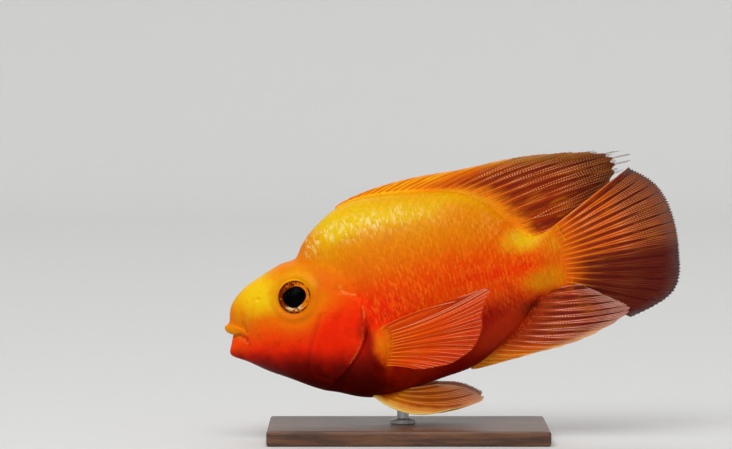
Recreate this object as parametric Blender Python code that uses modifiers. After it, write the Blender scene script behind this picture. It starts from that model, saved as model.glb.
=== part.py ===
"""A blood parrot cichlid as a still, life-size model on a display stand.

Metres, +Z up, the floor at Z = 0 under the middle of the model. The fish faces -X and its
left side is toward -Y. It is drawn in its own frame, with s running back from the snout,
y to its right and h up, and one empty pitches that frame nose down above the base. Sizes
are given in millimetres and turned into metres by MM."""

import math

import bmesh
import bpy
import numpy as np
from mathutils import Matrix, Vector

MM = 0.001
GAP = 0.3 * MM

# Pose
PITCH = math.radians(13.0)
SNOUT = Vector((-91.2, 0.0, 44.5)) * MM

# Body stations: the point on the back (s, h), the widest point of the flank (s, y, h), the
# point on the belly (s, h), and how pinched the section is above and below the flank.
STATIONS = {
    "mouth pit": (4.6, -3.9, 5.6, 2.6, -4.25, 4.6, -4.3, 1.0, 1.0),
    "mouth slit": (3.4, -3.6, 6.2, 4.4, -4.35, 3.4, -4.15, 1.0, 1.0),
    "inner lip": (1.8, -3.1, 6.8, 5.4, -4.4, 2.2, -4.2, 1.0, 1.0),
    "lip crest": (0.0, -1.5, 7.4, 6.0, -4.5, 1.2, -6.3, 1.0, 1.0),
    "outer lip": (0.2, 0.8, 8.1, 6.4, -4.6, -0.35, -9.9, 1.0, 1.0),
    "lip groove": (2.2, 2.2, 8.8, 6.6, -4.7, 1.1, -12.4, 1.0, 1.0),
    "muzzle": (4.3, 8.0, 13.2, 10.3, -4.9, 6.2, -15.6, 0.92, 0.94),
    "eye front": (11.2, 13.9, 21.0, 13.7, -5.0, 12.6, -20.5, 0.86, 0.90),
    "eye": (19.6, 17.4, 31.0, 16.4, -5.0, 19.6, -24.9, 0.84, 0.86),
    "cheek": (27.6, 20.0, 43.0, 18.7, -4.8, 26.4, -29.4, 0.84, 0.84),
    "gill edge": (33.4, 21.6, 56.0, 20.5, -4.4, 33.0, -33.3, 0.84, 0.82),
    "nape": (38.6, 27.2, 61.5, 20.8, -3.5, 39.4, -36.1, 0.84, 0.80),
    "shoulder": (47.6, 33.7, 67.5, 20.7, -2.4, 48.0, -39.8, 0.86, 0.80),
    "breast": (61.5, 38.5, 77.0, 19.9, -0.6, 61.5, -41.4, 0.90, 0.86),
    "middle": (81.0, 37.0, 88.5, 17.7, 0.6, 80.0, -39.4, 0.94, 0.96),
    "vent": (96.5, 33.8, 99.5, 14.4, 0.8, 94.5, -37.4, 0.96, 1.04),
    "fin bases": (108.0, 28.6, 109.5, 10.9, 0.0, 106.5, -31.4, 0.96, 1.04),
    "stalk front": (117.6, 18.8, 118.0, 8.1, -1.8, 117.0, -24.3, 0.92, 0.98),
    "stalk": (126.0, 8.9, 126.3, 5.9, -3.0, 126.0, -16.6, 0.86, 0.88),
    "tail root": (134.0, 9.0, 134.0, 2.6, -3.1, 134.0, -15.3, 0.80, 0.80),
}
PLACES = {place: number for number, place in enumerate(STATIONS)}
SWEEP = 2.3
AROUND = 40
MOUTH_END = Vector((5.2, 0.0, -4.1)) * MM
HEAD_BACK = Vector((46.0, 0.0, -5.0)) * MM
LIP_RINGS_EACH = 2
HEAD_RINGS = 12
TRUNK_START = 0.07
TRUNK_FIRST_RING = 0.25
TRUNK_RINGS = 17
TRUNK_TIP_GAP = 0.4 * MM
GILL_STEP = 1.0 * MM
GILL_STEP_FADE = 2.0
STALK_START = 17.6
STALK_GAP = 0.05
STALK_RINGS = 7

# Gill cover: its outline from the side, starting at the top of the cheek ridge.
GILL_OUTLINE = (
    (38.6, -2.6), (36.4, -7.1), (34.0, -11.3), (32.1, -14.9), (31.0, -18.3), (30.4, -22.4),
    (31.4, -26.2), (35.0, -28.4), (42.0, -30.0), (52.0, -30.0), (64.0, -24.0), (64.0, 3.0),
    (55.0, 5.6), (50.6, 4.6), (44.6, 2.2),
)
GILL_THICKNESS = 3.0 * MM
GILL_INNER_Y = 4.5 * MM
GILL_OUTER_Y = 32.0 * MM

# Eyes and nostrils, on the left side as seen from it (s, h)
EYE_AT = (30.2, 6.6)
EYE_RADIUS = 8.1 * MM
EYE_DEPTH = 5.4 * MM
EYE_BULGE = 2.0 * MM
EYE_SIDEWAYS = 0.8
EYE_TURNS = 20
NOSTRIL_AT = (15.6, 8.7)
NOSTRIL_RADIUS = 0.9 * MM
NOSTRIL_TURNS = 10

# Fins: thickness of the fleshy root, of a ray at its root and tip, of the membrane between rays
# and of the margin, then how far a root lies clear of the body or sinks into it
FIN_ROOT = 2.4 * MM
TAIL_FIN_ROOT = 3.4 * MM
PECTORAL_ROOT = 3.0 * MM
PELVIC_ROOT = 1.6 * MM
RAY = 1.1 * MM
RAY_TIP = 0.65 * MM
MEMBRANE = 0.55 * MM
MARGIN = 0.5 * MM
ROOT_GAP = 0.6 * MM
FIN_SINK = 1.0 * MM
ROW_CROWDING = 1.15
NOTCH = 0.03

# Fins: where each root starts and ends, and points (s, y, h) that the tips of its rays follow.
# Those of the paired fins are for the right side.
DORSAL_ROOT = (54.0, 124.0)
DORSAL_TIPS = (
    (59.0, 0.0, 39.7), (69.5, 0.0, 40.9), (81.0, 0.0, 41.7), (93.5, 0.0, 41.5), (108.0, 0.3, 40.6),
    (124.0, 1.2, 40.5), (145.0, 3.0, 38.4), (171.0, 6.2, 31.6), (171.0, 7.0, 25.4), (147.0, 4.4, 14.8),
)
ANAL_ROOT = (92.5, 126.0)
ANAL_TIPS = (
    (98.0, 0.0, -38.6), (109.0, 0.0, -38.3), (124.0, -0.6, -37.7), (140.0, -2.0, -36.3),
    (158.5, -4.0, -30.4), (156.0, -5.0, -24.4), (138.5, -3.6, -17.4),
)
CAUDAL_ROOT = (8.4, -14.8)
CAUDAL_TIPS = (
    (172.2, 0.0, 26.4), (181.0, 0.0, 18.2), (184.9, 0.0, 8.0), (185.6, 0.0, -3.0),
    (184.2, 0.0, -14.5), (178.4, 0.0, -26.6), (160.0, 0.0, -32.6),
)
PECTORAL_TOP = (58.4, -13.4)
PECTORAL_BOTTOM = (58.0, -28.0)
PECTORAL_TIPS = (
    (106.0, 35.0, -5.8), (102.0, 36.0, -13.5), (100.4, 37.0, -20.0),
    (94.5, 36.0, -28.6), (83.0, 33.0, -32.9), (70.0, 28.0, -31.6),
)
PELVIC_FRONT = (51.0, 6.0)
PELVIC_BACK = (60.0, 4.6)
PELVIC_TIPS = (
    (81.0, 13.0, -50.8), (94.5, 13.0, -50.2), (93.0, 11.5, -47.0), (87.5, 10.0, -43.9), (76.5, 8.5, -41.4),
)

# Stand
BASE_SIZE = Vector((112.0, 66.0, 6.0)) * MM
BASE_X = -18.0 * MM
BASE_BEVEL = 1.2 * MM
ROD_X = -20.0 * MM
ROD_RADIUS = 2.4 * MM
ROD_REACH = 26.0 * MM
COLLAR_RADIUS = 5.0 * MM
COLLAR_HEIGHT = 2.0 * MM
COLLAR_SHOULDER = 1.4 * MM
ROD_STEPS = 24

# Colours (red, green, blue) with roughness and metallic value
LOOKS = {
    "head": ((0.95, 0.33, 0.04), 0.35, 0.0),
    "gill_cover": ((0.86, 0.10, 0.03), 0.35, 0.0),
    "trunk": ((0.93, 0.25, 0.03), 0.35, 0.0),
    "tail_stalk": ((0.94, 0.40, 0.05), 0.35, 0.0),
    "eye": ((0.02, 0.015, 0.01), 0.08, 0.0),
    "fin": ((0.85, 0.22, 0.06), 0.45, 0.0),
    "stand_base": ((0.03, 0.03, 0.035), 0.4, 0.0),
    "stand_rod": ((0.6, 0.6, 0.62), 0.3, 1.0),
}


def spline(values):
    """A natural cubic spline through rows of values at 0, 1, 2 and so on."""
    values = np.array(values, float)
    count = len(values)
    system = np.eye(count)
    right = np.zeros_like(values)
    for i in range(1, count - 1):
        system[i, i - 1 : i + 2] = (1.0, 4.0, 1.0)
        right[i] = 6.0 * (values[i + 1] - 2.0 * values[i] + values[i - 1])
    bend = np.linalg.solve(system, right)

    def at(u):
        u = np.clip(np.asarray(u, float), 0.0, count - 1.0)
        i = np.minimum(u.astype(int), count - 2)
        b = (u - i)[..., None]
        a = 1.0 - b
        curved = (a**3 - a) * bend[i] + (b**3 - b) * bend[i + 1]
        return a * values[i] + b * values[i + 1] + curved / 6.0

    return at


BODY = spline([STATIONS[place] for place in STATIONS])


def body_surface(places, angles):
    """Points of the skin (s, y, h) at places along the body and angles round it.

    An angle of 90 degrees is the back and -90 degrees the belly. Each ring runs from the
    back point through the flank point to the belly point. It is swept toward the flank
    point, and its half widths follow a power of the cosine."""
    rails = np.moveaxis(BODY(places), -1, 0)
    back_s, back_h, flank_s, flank_y, flank_h, belly_s, belly_h, above, below = rails
    rise = np.sin(angles)
    side = np.cos(angles)
    up = rise > 0
    end_s = np.where(up, back_s, belly_s)
    end_h = np.where(up, back_h, belly_h)
    pinch = np.where(up, above, below)
    s = flank_s + (end_s - flank_s) * np.abs(rise) ** SWEEP
    h = flank_h + (end_h - flank_h) * np.abs(rise)
    y = flank_y * np.sign(side) * np.abs(side) ** pinch
    return np.stack([s, y, h], axis=-1) * MM


def ring_angles():
    """Angles round the body, from the right flank up over the back."""
    return np.arange(AROUND) * 2.0 * np.pi / AROUND


def swollen(grid, distance):
    """The grid of a tube moved outward along its own normals."""
    along = np.gradient(grid, axis=0)
    around = np.roll(grid, -1, axis=1) - np.roll(grid, 1, axis=1)
    normal = np.cross(around, along)
    normal /= np.linalg.norm(normal, axis=-1, keepdims=True)
    return grid + normal * distance


def new_object(name, mesh, group, look=None):
    """An object of the mesh in its collection, carried by the fish's empty."""
    obj = bpy.data.objects.new(name, mesh)
    group.objects.link(obj)
    obj.parent = fish
    if look:
        give_material(obj, look)
    if group is cutters:
        obj.hide_render = True
        obj.display_type = "WIRE"
    return obj


def give_material(obj, look):
    """A plain material of the sub-part's own colour."""
    colour, roughness, metallic = LOOKS[look]
    material = bpy.data.materials.new(obj.name)
    material.use_nodes = True
    shader = material.node_tree.nodes["Principled BSDF"]
    shader.inputs["Base Color"].default_value = (*colour, 1.0)
    shader.inputs["Roughness"].default_value = roughness
    shader.inputs["Metallic"].default_value = metallic
    material.diffuse_color = (*colour, 1.0)
    obj.data.materials.clear()
    obj.data.materials.append(material)


def tube_mesh(name, grid, front, back):
    """A closed mesh: rings of points joined by quads and fanned to a point at each end."""
    rings, around, _ = grid.shape
    vertices = [*map(tuple, grid.reshape(-1, 3)), tuple(front), tuple(back)]
    faces = []
    for j in range(around):
        k = (j + 1) % around
        faces.append((rings * around, k, j))
        for i in range(rings - 1):
            faces.append((i * around + j, i * around + k, (i + 1) * around + k, (i + 1) * around + j))
        last = (rings - 1) * around
        faces.append((rings * around + 1, last + j, last + k))
    mesh = bpy.data.meshes.new(name)
    mesh.from_pydata(vertices, [], faces)
    mesh.update()
    return mesh


def cut(obj, tool, operation="DIFFERENCE"):
    """A Boolean modifier of the tool on the object."""
    modifier = obj.modifiers.new(tool.name, "BOOLEAN")
    modifier.operation = operation
    modifier.object = tool
    modifier.solver = "EXACT"


def settle(obj):
    """Applies the modifiers and keeps only the largest closed surface."""
    bpy.context.view_layer.update()
    evaluated = obj.evaluated_get(bpy.context.evaluated_depsgraph_get())
    mesh = bpy.data.meshes.new_from_object(evaluated)
    obj.modifiers.clear()
    obj.data = mesh
    work = bmesh.new()
    work.from_mesh(mesh)
    loose = set(work.verts)
    surfaces = []
    while loose:
        front = [loose.pop()]
        surface = set(front)
        while front:
            vertex = front.pop()
            near = {edge.other_vert(vertex) for edge in vertex.link_edges} - surface
            surface |= near
            front.extend(near)
        loose -= surface
        surfaces.append(surface)
    largest = max(surfaces, key=len)
    bmesh.ops.delete(work, geom=[v for v in work.verts if v not in largest], context="VERTS")
    work.to_mesh(mesh)
    work.free()


def locate(s, other, axis, lowest, highest):
    """The place and angle on the right flank where the skin has these two coordinates.

    axis is 1 where the other coordinate is y and 2 where it is h, in millimetres."""
    places = np.linspace(PLACES["lip groove"], PLACES["tail root"], 401)[:, None]
    angles = np.radians(np.linspace(lowest, highest, 241))[None, :]
    grid = body_surface(places, angles) / MM
    off = (grid[..., 0] - s) ** 2 + (grid[..., axis] - other) ** 2
    i, j = np.unravel_index(np.argmin(off), off.shape)
    return np.array((places[i, 0], angles[0, j]))


def from_side(s, h):
    """The place and angle where the skin is seen from the side at (s, h)."""
    return locate(s, h, 2, -89.0, 89.0)


def from_below(s, y):
    """The place and angle where the skin is seen from below at (s, y)."""
    return locate(s, y, 1, -89.0, -20.0)


def skin(spots, side):
    """Points and outward normals of the skin at rows of place and angle, on one side."""
    step = 0.01
    place, angle = np.moveaxis(np.asarray(spots), -1, 0)
    point = body_surface(place, angle)
    along = body_surface(place + step, angle) - body_surface(place - step, angle)
    around = body_surface(place, angle + step) - body_surface(place, angle - step)
    normal = np.cross(around, along)
    normal /= np.linalg.norm(normal, axis=-1, keepdims=True)
    mirror = np.array((1.0, side, 1.0))
    return point * mirror, normal * mirror


def midline(s, upper):
    """Height of the back or the belly over a distance s in millimetres."""
    places = np.linspace(PLACES["lip groove"], PLACES["tail root"], 2001)
    rails = BODY(places)
    column = 0 if upper else 5
    return np.interp(s, rails[:, column], rails[:, column + 1])


# Body


def head_grid():
    """Rings of the head from the mouth pit back to the gill edge."""
    muzzle = PLACES["muzzle"]
    lips = np.arange(muzzle * LIP_RINGS_EACH) / LIP_RINGS_EACH
    places = np.concatenate([lips, np.linspace(muzzle, PLACES["gill edge"], HEAD_RINGS)])
    return body_surface(places[:, None], ring_angles()[None, :])


def trunk_grid():
    """Rings of the trunk, a step lower than the gill covers along its front edge."""
    start = PLACES["gill edge"] + TRUNK_START
    places = np.concatenate([[start], np.linspace(start + TRUNK_FIRST_RING, STALK_START, TRUNK_RINGS)])
    angles = ring_angles()
    grid = body_surface(places[:, None], angles[None, :])
    fade = np.clip(1.0 - (places - start) / GILL_STEP_FADE, 0.0, 1.0)
    step = GILL_STEP * fade[:, None] * np.cos(angles) ** 2 * np.sign(np.cos(angles))
    grid[..., 1] -= step
    return grid


def stalk_grid():
    """Rings of the tail stalk up to the root of the tail fin."""
    places = np.linspace(STALK_START + STALK_GAP, PLACES["tail root"], STALK_RINGS)
    return body_surface(places[:, None], ring_angles()[None, :])


def ring_centre(ring):
    """The middle of a ring, on the midline."""
    centre = ring.mean(axis=0)
    return Vector((centre[0], 0.0, centre[2]))


def side_prism(name, outline, grow, side):
    """The outline, seen from the side, carried sideways through one flank."""
    points = np.array(outline) * MM
    ahead = np.roll(points, -1, axis=0) - points
    ahead /= np.linalg.norm(ahead, axis=1, keepdims=True)
    bisector = ahead + np.roll(ahead, 1, axis=0)
    bisector /= np.linalg.norm(bisector, axis=1, keepdims=True)
    points += np.stack([-bisector[:, 1], bisector[:, 0]], axis=1) * -grow
    work = bmesh.new()
    near = [work.verts.new((s, side * (GILL_INNER_Y - grow), h)) for s, h in points]
    work.faces.new(near)
    sweep = bmesh.ops.extrude_face_region(work, geom=work.faces[:])
    moved = [item for item in sweep["geom"] if isinstance(item, bmesh.types.BMVert)]
    bmesh.ops.translate(work, verts=moved, vec=(0.0, side * GILL_OUTER_Y, 0.0))
    bmesh.ops.recalc_face_normals(work, faces=work.faces[:])
    mesh = bpy.data.meshes.new(name)
    work.to_mesh(mesh)
    work.free()
    return mesh


def ball(name, centre, axis, radii, turns, group, look=None):
    """A ball at a place in the fish's frame, flattened along an axis."""
    work = bmesh.new()
    turn = axis.to_track_quat("Y", "Z")
    shape = Matrix.LocRotScale(centre, turn, radii) @ Matrix.Rotation(math.pi / 2.0, 4, "X")
    bmesh.ops.create_uvsphere(work, u_segments=turns, v_segments=turns // 2, radius=1.0, matrix=shape)
    mesh = bpy.data.meshes.new(name)
    work.to_mesh(mesh)
    work.free()
    mesh.shade_smooth()
    return new_object(name, mesh, group, look)


def make_head():
    """Head with lips, mouth and nostrils, and a gill cover let into each cheek."""
    grid = head_grid()
    blank = new_object("head_blank", tube_mesh("head_blank", grid, MOUTH_END, HEAD_BACK), cutters)
    head = new_object("head", blank.data.copy(), parts, "head")
    cores = {}
    cheeks = grid[PLACES["muzzle"] * LIP_RINGS_EACH :]
    for depth in (GILL_THICKNESS, GILL_THICKNESS + GAP):
        inner = swollen(cheeks, -depth)
        name = f"core_{len(cores)}"
        mesh = tube_mesh(name, inner, ring_centre(inner[0]), HEAD_BACK)
        cores[depth] = new_object(name, mesh, cutters)
    for name, side in (("left", -1.0), ("right", 1.0)):
        pocket = new_object(f"pocket_{name}", side_prism("pocket", GILL_OUTLINE, GAP, side), cutters)
        cut(pocket, cores[GILL_THICKNESS + GAP])
        cut(head, pocket)
        plate_mesh = side_prism("gill_cover", GILL_OUTLINE, 0.0, side)
        plate = new_object(f"gill_cover_{name}", plate_mesh, parts, "gill_cover")
        cut(plate, blank, "INTERSECT")
        cut(plate, cores[GILL_THICKNESS])
        settle(plate)
        point, outward = skin(from_side(*EYE_AT), side)
        gaze = (Vector(outward) + Vector((0.0, side * EYE_SIDEWAYS, 0.0))).normalized()
        centre = Vector(point) - gaze * (EYE_DEPTH - EYE_BULGE)
        radii = Vector((EYE_RADIUS, EYE_DEPTH, EYE_RADIUS))
        ball(f"eye_{name}", centre, gaze, radii, EYE_TURNS, parts, "eye")
        wider = radii + Vector((GAP, GAP, GAP))
        cut(head, ball(f"socket_{name}", centre, gaze, wider, EYE_TURNS, cutters))
        point, outward = skin(from_side(*NOSTRIL_AT), side)
        pit = Vector((1.0, 1.0, 1.0)) * NOSTRIL_RADIUS
        cut(head, ball(f"nostril_{name}", Vector(point), Vector(outward), pit, NOSTRIL_TURNS, cutters))
    settle(head)


def make_trunk():
    """Trunk and tail stalk, each one closed body behind the head."""
    grid = trunk_grid()
    front = HEAD_BACK + Vector((TRUNK_TIP_GAP, 0.0, 0.0))
    mesh = tube_mesh("trunk", grid, front, ring_centre(grid[-1]))
    new_object("trunk", mesh, parts, "trunk")
    grid = stalk_grid()
    mesh = tube_mesh("tail_stalk", grid, ring_centre(grid[0]), ring_centre(grid[-1]))
    new_object("tail_stalk", mesh, parts, "tail_stalk")


# Fins


def fin_columns(rays, branched):
    """Places of the fin's columns and how far each stands as a ridge at root and tip.

    A ray is a crest between two valleys. A branched ray has two side columns that take
    over from its crest toward the tip."""
    columns = []
    for ray in range(rays):
        if ray:
            columns.append((ray - 0.5, 0.0, 0.0))
        if branched[0] <= ray < branched[1]:
            columns.append((ray - 0.25, 0.35, 0.9))
            columns.append((ray, 1.0, 0.3))
            columns.append((ray + 0.25, 0.35, 0.9))
        else:
            columns.append((ray, 1.0, 1.0))
    return np.array(columns)


def make_fin(name, root, tip, rays, rows, branched, bow=0.0, flesh=FIN_ROOT, body=None):
    """A fin of ridged rays with a thin membrane between them.

    root and tip give the ends of the ray at a place from 0 to 1, in metres. bow bends each
    ray. A notch in the margin lies between two rays. A paired fin starts inside the body,
    and is cut clear of it."""
    columns = fin_columns(rays, branched)
    q = columns[:, 0] / (rays - 1.0)
    start = root(q)
    end = tip(q)
    valley = 1.0 - columns[:, 2]
    end = start + (end - start) * (1.0 - NOTCH * valley)[:, None]
    r = np.linspace(0.0, 1.0, rows) ** ROW_CROWDING
    chord = end - start
    lift = np.stack([-chord[:, 2], np.zeros(len(q)), chord[:, 0]], axis=1)
    arch = (4.0 * r * (1.0 - r))[:, None, None] * lift[None] * bow
    grid = start[None] + chord[None] * r[:, None, None] + arch
    thickness = np.empty(grid.shape[:2])
    for i, along in enumerate(r):
        crest = columns[:, 1] * (1.0 - along) + columns[:, 2] * along
        ridge = RAY * (1.0 - along) + RAY_TIP * along
        thickness[i] = MEMBRANE + (ridge - MEMBRANE) * crest
    thickness[0] = flesh
    thickness[-1] = MARGIN
    return fin_object(name, grid, thickness, body)


def fin_object(name, grid, thickness, body):
    """The fin's middle surface in triangles, made solid by its thickness at each point."""
    rows, columns, _ = grid.shape
    faces = []
    for i in range(rows - 1):
        for j in range(columns - 1):
            a = i * columns + j
            faces.append((a, a + 1, a + columns + 1))
            faces.append((a, a + columns + 1, a + columns))
    mesh = bpy.data.meshes.new(name)
    mesh.from_pydata([tuple(point) for point in grid.reshape(-1, 3)], [], faces)
    fin = new_object(name, mesh, parts, "fin")
    widest = float(thickness.max())
    group = fin.vertex_groups.new(name="thickness")
    for index, value in enumerate(thickness.reshape(-1)):
        group.add([index], float(value) / widest, "REPLACE")
    shell = fin.modifiers.new("thickness", "SOLIDIFY")
    shell.thickness = widest
    shell.offset = 0.0
    shell.vertex_group = "thickness"
    if body:
        cut(fin, body)
        settle(fin)
    return fin


def through(points, side=1.0):
    """A smooth curve from 0 to 1 through points in millimetres, on one side of the fish."""
    line = spline(points)
    mirror = np.array((1.0, side, 1.0)) * MM
    return lambda q: line(np.asarray(q) * (len(points) - 1)) * mirror


def make_dorsal():
    """Dorsal fin: low spines along the back, then long soft rays that lean away to the right."""

    def root(q):
        s = DORSAL_ROOT[0] + (DORSAL_ROOT[1] - DORSAL_ROOT[0]) * q
        return np.stack([s * MM, 0.0 * s, midline(s, True) * MM + ROOT_GAP], axis=1)

    make_fin("dorsal_fin", root, through(DORSAL_TIPS), 26, 8, (15, 25), bow=0.03)


def make_anal():
    """Anal fin: spines then soft rays, leaning a little to the left."""

    def root(q):
        s = ANAL_ROOT[0] + (ANAL_ROOT[1] - ANAL_ROOT[0]) * q
        return np.stack([s * MM, 0.0 * s, midline(s, False) * MM - ROOT_GAP], axis=1)

    make_fin("anal_fin", root, through(ANAL_TIPS), 16, 7, (7, 15), bow=-0.03)


def make_caudal():
    """Tail fin: a rounded fan behind the stalk."""

    def root(q):
        h = CAUDAL_ROOT[0] + (CAUDAL_ROOT[1] - CAUDAL_ROOT[0]) * q
        behind = STATIONS["tail root"][0] * MM + GAP
        return np.stack([behind + 0.0 * h, 0.0 * h, h * MM], axis=1)

    make_fin("caudal_fin", root, through(CAUDAL_TIPS), 16, 8, (1, 15), flesh=TAIL_FIN_ROOT)


def sunk_root(first, last, side):
    """A paired fin's root: a line of spots on the skin, a little inside it."""

    def root(q):
        point, outward = skin(first + (last - first) * q[:, None], side)
        return point - outward * FIN_SINK

    return root


def make_paired_fins(body):
    """Pectoral fins behind the gill covers, and pelvic fins under the breast: a leading spine
    and five rays."""
    for name, side in (("left", -1.0), ("right", 1.0)):
        root = sunk_root(from_side(*PECTORAL_TOP), from_side(*PECTORAL_BOTTOM), side)
        tips = through(PECTORAL_TIPS, side)
        make_fin(f"pectoral_fin_{name}", root, tips, 13, 7, (1, 12), 0.04, PECTORAL_ROOT, body)
        root = sunk_root(from_below(*PELVIC_FRONT), from_below(*PELVIC_BACK), side)
        tips = through(PELVIC_TIPS, side)
        make_fin(f"pelvic_fin_{name}", root, tips, 6, 6, (1, 5), -0.15, PELVIC_ROOT, body)


# Stand


def turned(name, profile, group, look):
    """A turned piece: its profile, top to bottom on the outer side, spun round Z."""
    mesh = bpy.data.meshes.new(name)
    edges = [(i, i + 1) for i in range(len(profile) - 1)]
    mesh.from_pydata([(radius, 0.0, height) for radius, height in profile], edges, [])
    obj = new_object(name, mesh, group, look)
    obj.parent = None
    screw = obj.modifiers.new("turn", "SCREW")
    screw.steps = ROD_STEPS
    screw.render_steps = ROD_STEPS
    screw.merge_threshold = 0.00001
    screw.use_merge_vertices = True
    return obj


def make_stand(body):
    """A flat base and one rod with a collar, up to the belly between the pelvic fins."""
    bpy.ops.mesh.primitive_cube_add(size=1.0, location=(BASE_X, 0.0, BASE_SIZE.z / 2.0))
    base = bpy.context.object
    base.name = "stand_base"
    for owner in base.users_collection:
        owner.objects.unlink(base)
    parts.objects.link(base)
    for vertex in base.data.vertices:
        vertex.co = Vector(a * b for a, b in zip(vertex.co, BASE_SIZE))
    bevel = base.modifiers.new("edge", "BEVEL")
    bevel.width = BASE_BEVEL
    bevel.segments = 3
    give_material(base, "stand_base")
    floor = BASE_SIZE.z + GAP
    profile = (
        (0.0, floor + ROD_REACH), (ROD_RADIUS, floor + ROD_REACH), (ROD_RADIUS, floor + COLLAR_HEIGHT),
        (COLLAR_RADIUS, floor + COLLAR_SHOULDER), (COLLAR_RADIUS, floor), (0.0, floor),
    )
    rod = turned("stand_rod", profile, parts, "stand_rod")
    rod.location.x = ROD_X
    cut(rod, body)
    settle(rod)


for old in list(bpy.data.objects):
    bpy.data.objects.remove(old)
parts = bpy.data.collections.new("blood_parrot_cichlid")
cutters = bpy.data.collections.new("cutters")
bpy.context.scene.collection.children.link(parts)
bpy.context.scene.collection.children.link(cutters)
fish = bpy.data.objects.new("fish", None)
parts.objects.link(fish)
fish.location = SNOUT
fish.rotation_euler.y = -PITCH

make_head()
make_trunk()
swollen_trunk = swollen(trunk_grid(), GAP)
trunk_tool = new_object(
    "trunk_tool",
    tube_mesh("trunk_tool", swollen_trunk, HEAD_BACK, ring_centre(swollen_trunk[-1])),
    cutters,
)
make_dorsal()
make_anal()
make_caudal()
make_paired_fins(trunk_tool)
make_stand(trunk_tool)
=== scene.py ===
"""Looks of a still, life-size blood parrot cichlid on its display stand.

The fish is worked out in its own frame, in millimetres: s runs back from the snout, y to its
right side and h up. That frame is pitched nose down and set above the stand, in metres."""

import math

import bpy
import numpy as np
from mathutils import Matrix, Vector


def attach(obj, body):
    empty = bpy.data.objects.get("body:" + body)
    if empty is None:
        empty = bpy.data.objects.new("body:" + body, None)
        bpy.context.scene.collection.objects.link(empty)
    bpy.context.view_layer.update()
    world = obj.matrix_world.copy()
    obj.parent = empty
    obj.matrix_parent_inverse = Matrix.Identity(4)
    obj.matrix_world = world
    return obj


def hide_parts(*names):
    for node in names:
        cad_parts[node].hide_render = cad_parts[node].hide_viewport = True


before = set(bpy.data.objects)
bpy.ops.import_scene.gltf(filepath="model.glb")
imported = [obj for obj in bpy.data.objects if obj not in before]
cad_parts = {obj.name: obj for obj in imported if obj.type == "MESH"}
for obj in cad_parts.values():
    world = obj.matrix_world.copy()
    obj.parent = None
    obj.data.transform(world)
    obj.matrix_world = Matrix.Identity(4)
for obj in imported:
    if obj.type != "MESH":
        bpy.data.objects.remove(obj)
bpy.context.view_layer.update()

# Body skin: one smooth, slimy layer over the whole body, bare on the head and under scales
# behind it, with thick lips, soft gill covers and a ring round each eye. On a museum model it is
# cast in one piece and painted in thin coats of yellow, orange and red under a wet varnish.
MM = 0.001
PITCH = math.radians(13.0)
SNOUT = np.array((-91.2, 0.0, 44.5))
STATIONS = {  # back s and h, flank s, y and h, belly s and h, then the pinch above and below
    "mouth pit": (4.6, -3.98, 5.6, 2.6, -4.2, 4.6, -4.06, 1.0, 1.0),
    "mouth slit": (3.4, -3.66, 6.2, 4.4, -4.3, 3.4, -3.76, 1.0, 1.0),
    "inner lip": (2.1, -3.3, 6.8, 5.4, -4.35, 2.5, -3.5, 1.0, 1.0),
    "lip crest": (0.0, -1.5, 7.4, 6.0, -4.5, 1.2, -6.3, 1.0, 1.0),
    "outer lip": (0.2, 0.8, 8.1, 6.4, -4.6, -0.35, -9.9, 1.0, 1.0),
    "lip groove": (2.2, 2.2, 8.8, 6.6, -4.7, 1.1, -12.4, 1.0, 1.0),
    "muzzle": (4.3, 8.0, 13.2, 10.3, -4.9, 6.2, -15.6, 0.92, 0.94),
    "eye front": (11.2, 13.9, 21.0, 13.7, -5.0, 12.6, -20.5, 0.86, 0.90),
    "eye": (19.6, 17.4, 31.0, 16.4, -5.0, 19.6, -24.9, 0.84, 0.86),
    "cheek": (27.6, 20.0, 43.0, 18.7, -4.8, 26.4, -29.4, 0.84, 0.84),
    "gill edge": (33.4, 21.6, 56.0, 20.5, -4.4, 33.0, -33.3, 0.84, 0.82),
    "nape": (38.6, 27.2, 61.5, 20.8, -3.5, 39.4, -36.1, 0.84, 0.80),
    "shoulder": (47.6, 33.7, 67.5, 20.7, -2.4, 48.0, -39.8, 0.86, 0.80),
    "breast": (61.5, 38.5, 77.0, 19.9, -0.6, 61.5, -41.4, 0.90, 0.86),
    "middle": (81.0, 37.0, 88.5, 17.7, 0.6, 80.0, -39.4, 0.94, 0.96),
    "vent": (96.5, 33.8, 99.5, 14.4, 0.8, 94.5, -37.4, 0.96, 1.04),
    "fin bases": (108.0, 28.6, 109.5, 10.9, 0.0, 106.5, -31.4, 0.96, 1.04),
    "stalk front": (117.6, 18.8, 118.0, 8.1, -1.8, 117.0, -24.3, 0.92, 0.98),
    "stalk": (126.0, 8.9, 126.3, 5.9, -3.0, 126.0, -16.6, 0.86, 0.88),
    "tail root": (134.0, 9.0, 134.0, 2.7, -3.1, 134.0, -15.3, 0.80, 0.80),
    "tail sheath": (137.0, 9.8, 138.0, 0.6, -3.2, 137.0, -16.4, 0.80, 0.80),
    "sheath end": (139.0, 10.6, 141.6, 0.2, -3.4, 139.0, -17.4, 0.80, 0.80),
}
PLACES = {place: number for number, place in enumerate(STATIONS)}
GILL = PLACES["gill edge"]
SWEEP = 2.3
COAT = 0.28
HEAD_COAT = 0.08
RINGS = (  # from a place to the next, in so many rings
    (0.0, 6.0, 66), (6.0, 9.85, 64), (9.85, 10.0, 6), (10.0, 10.06, 4), (10.06, 10.5, 9),
    (10.5, 12.0, 20), (12.0, 17.0, 92), (17.0, 19.0, 28), (19.0, 21.0, 18),
)
AROUND = 304
FLANK_CROWD = 0.3
MOUTH_END = (5.2, 0.0, -4.1)
EYE_AT = (30.2, 6.6)
EYE_RADIUS, EYE_DEPTH, EYE_BULGE, EYE_SIDEWAYS = 8.1, 5.4, 2.0, 0.8
NOSTRIL_AT = (15.6, 8.7)
NAPE_AT = (33.3, 21.6)
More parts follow.
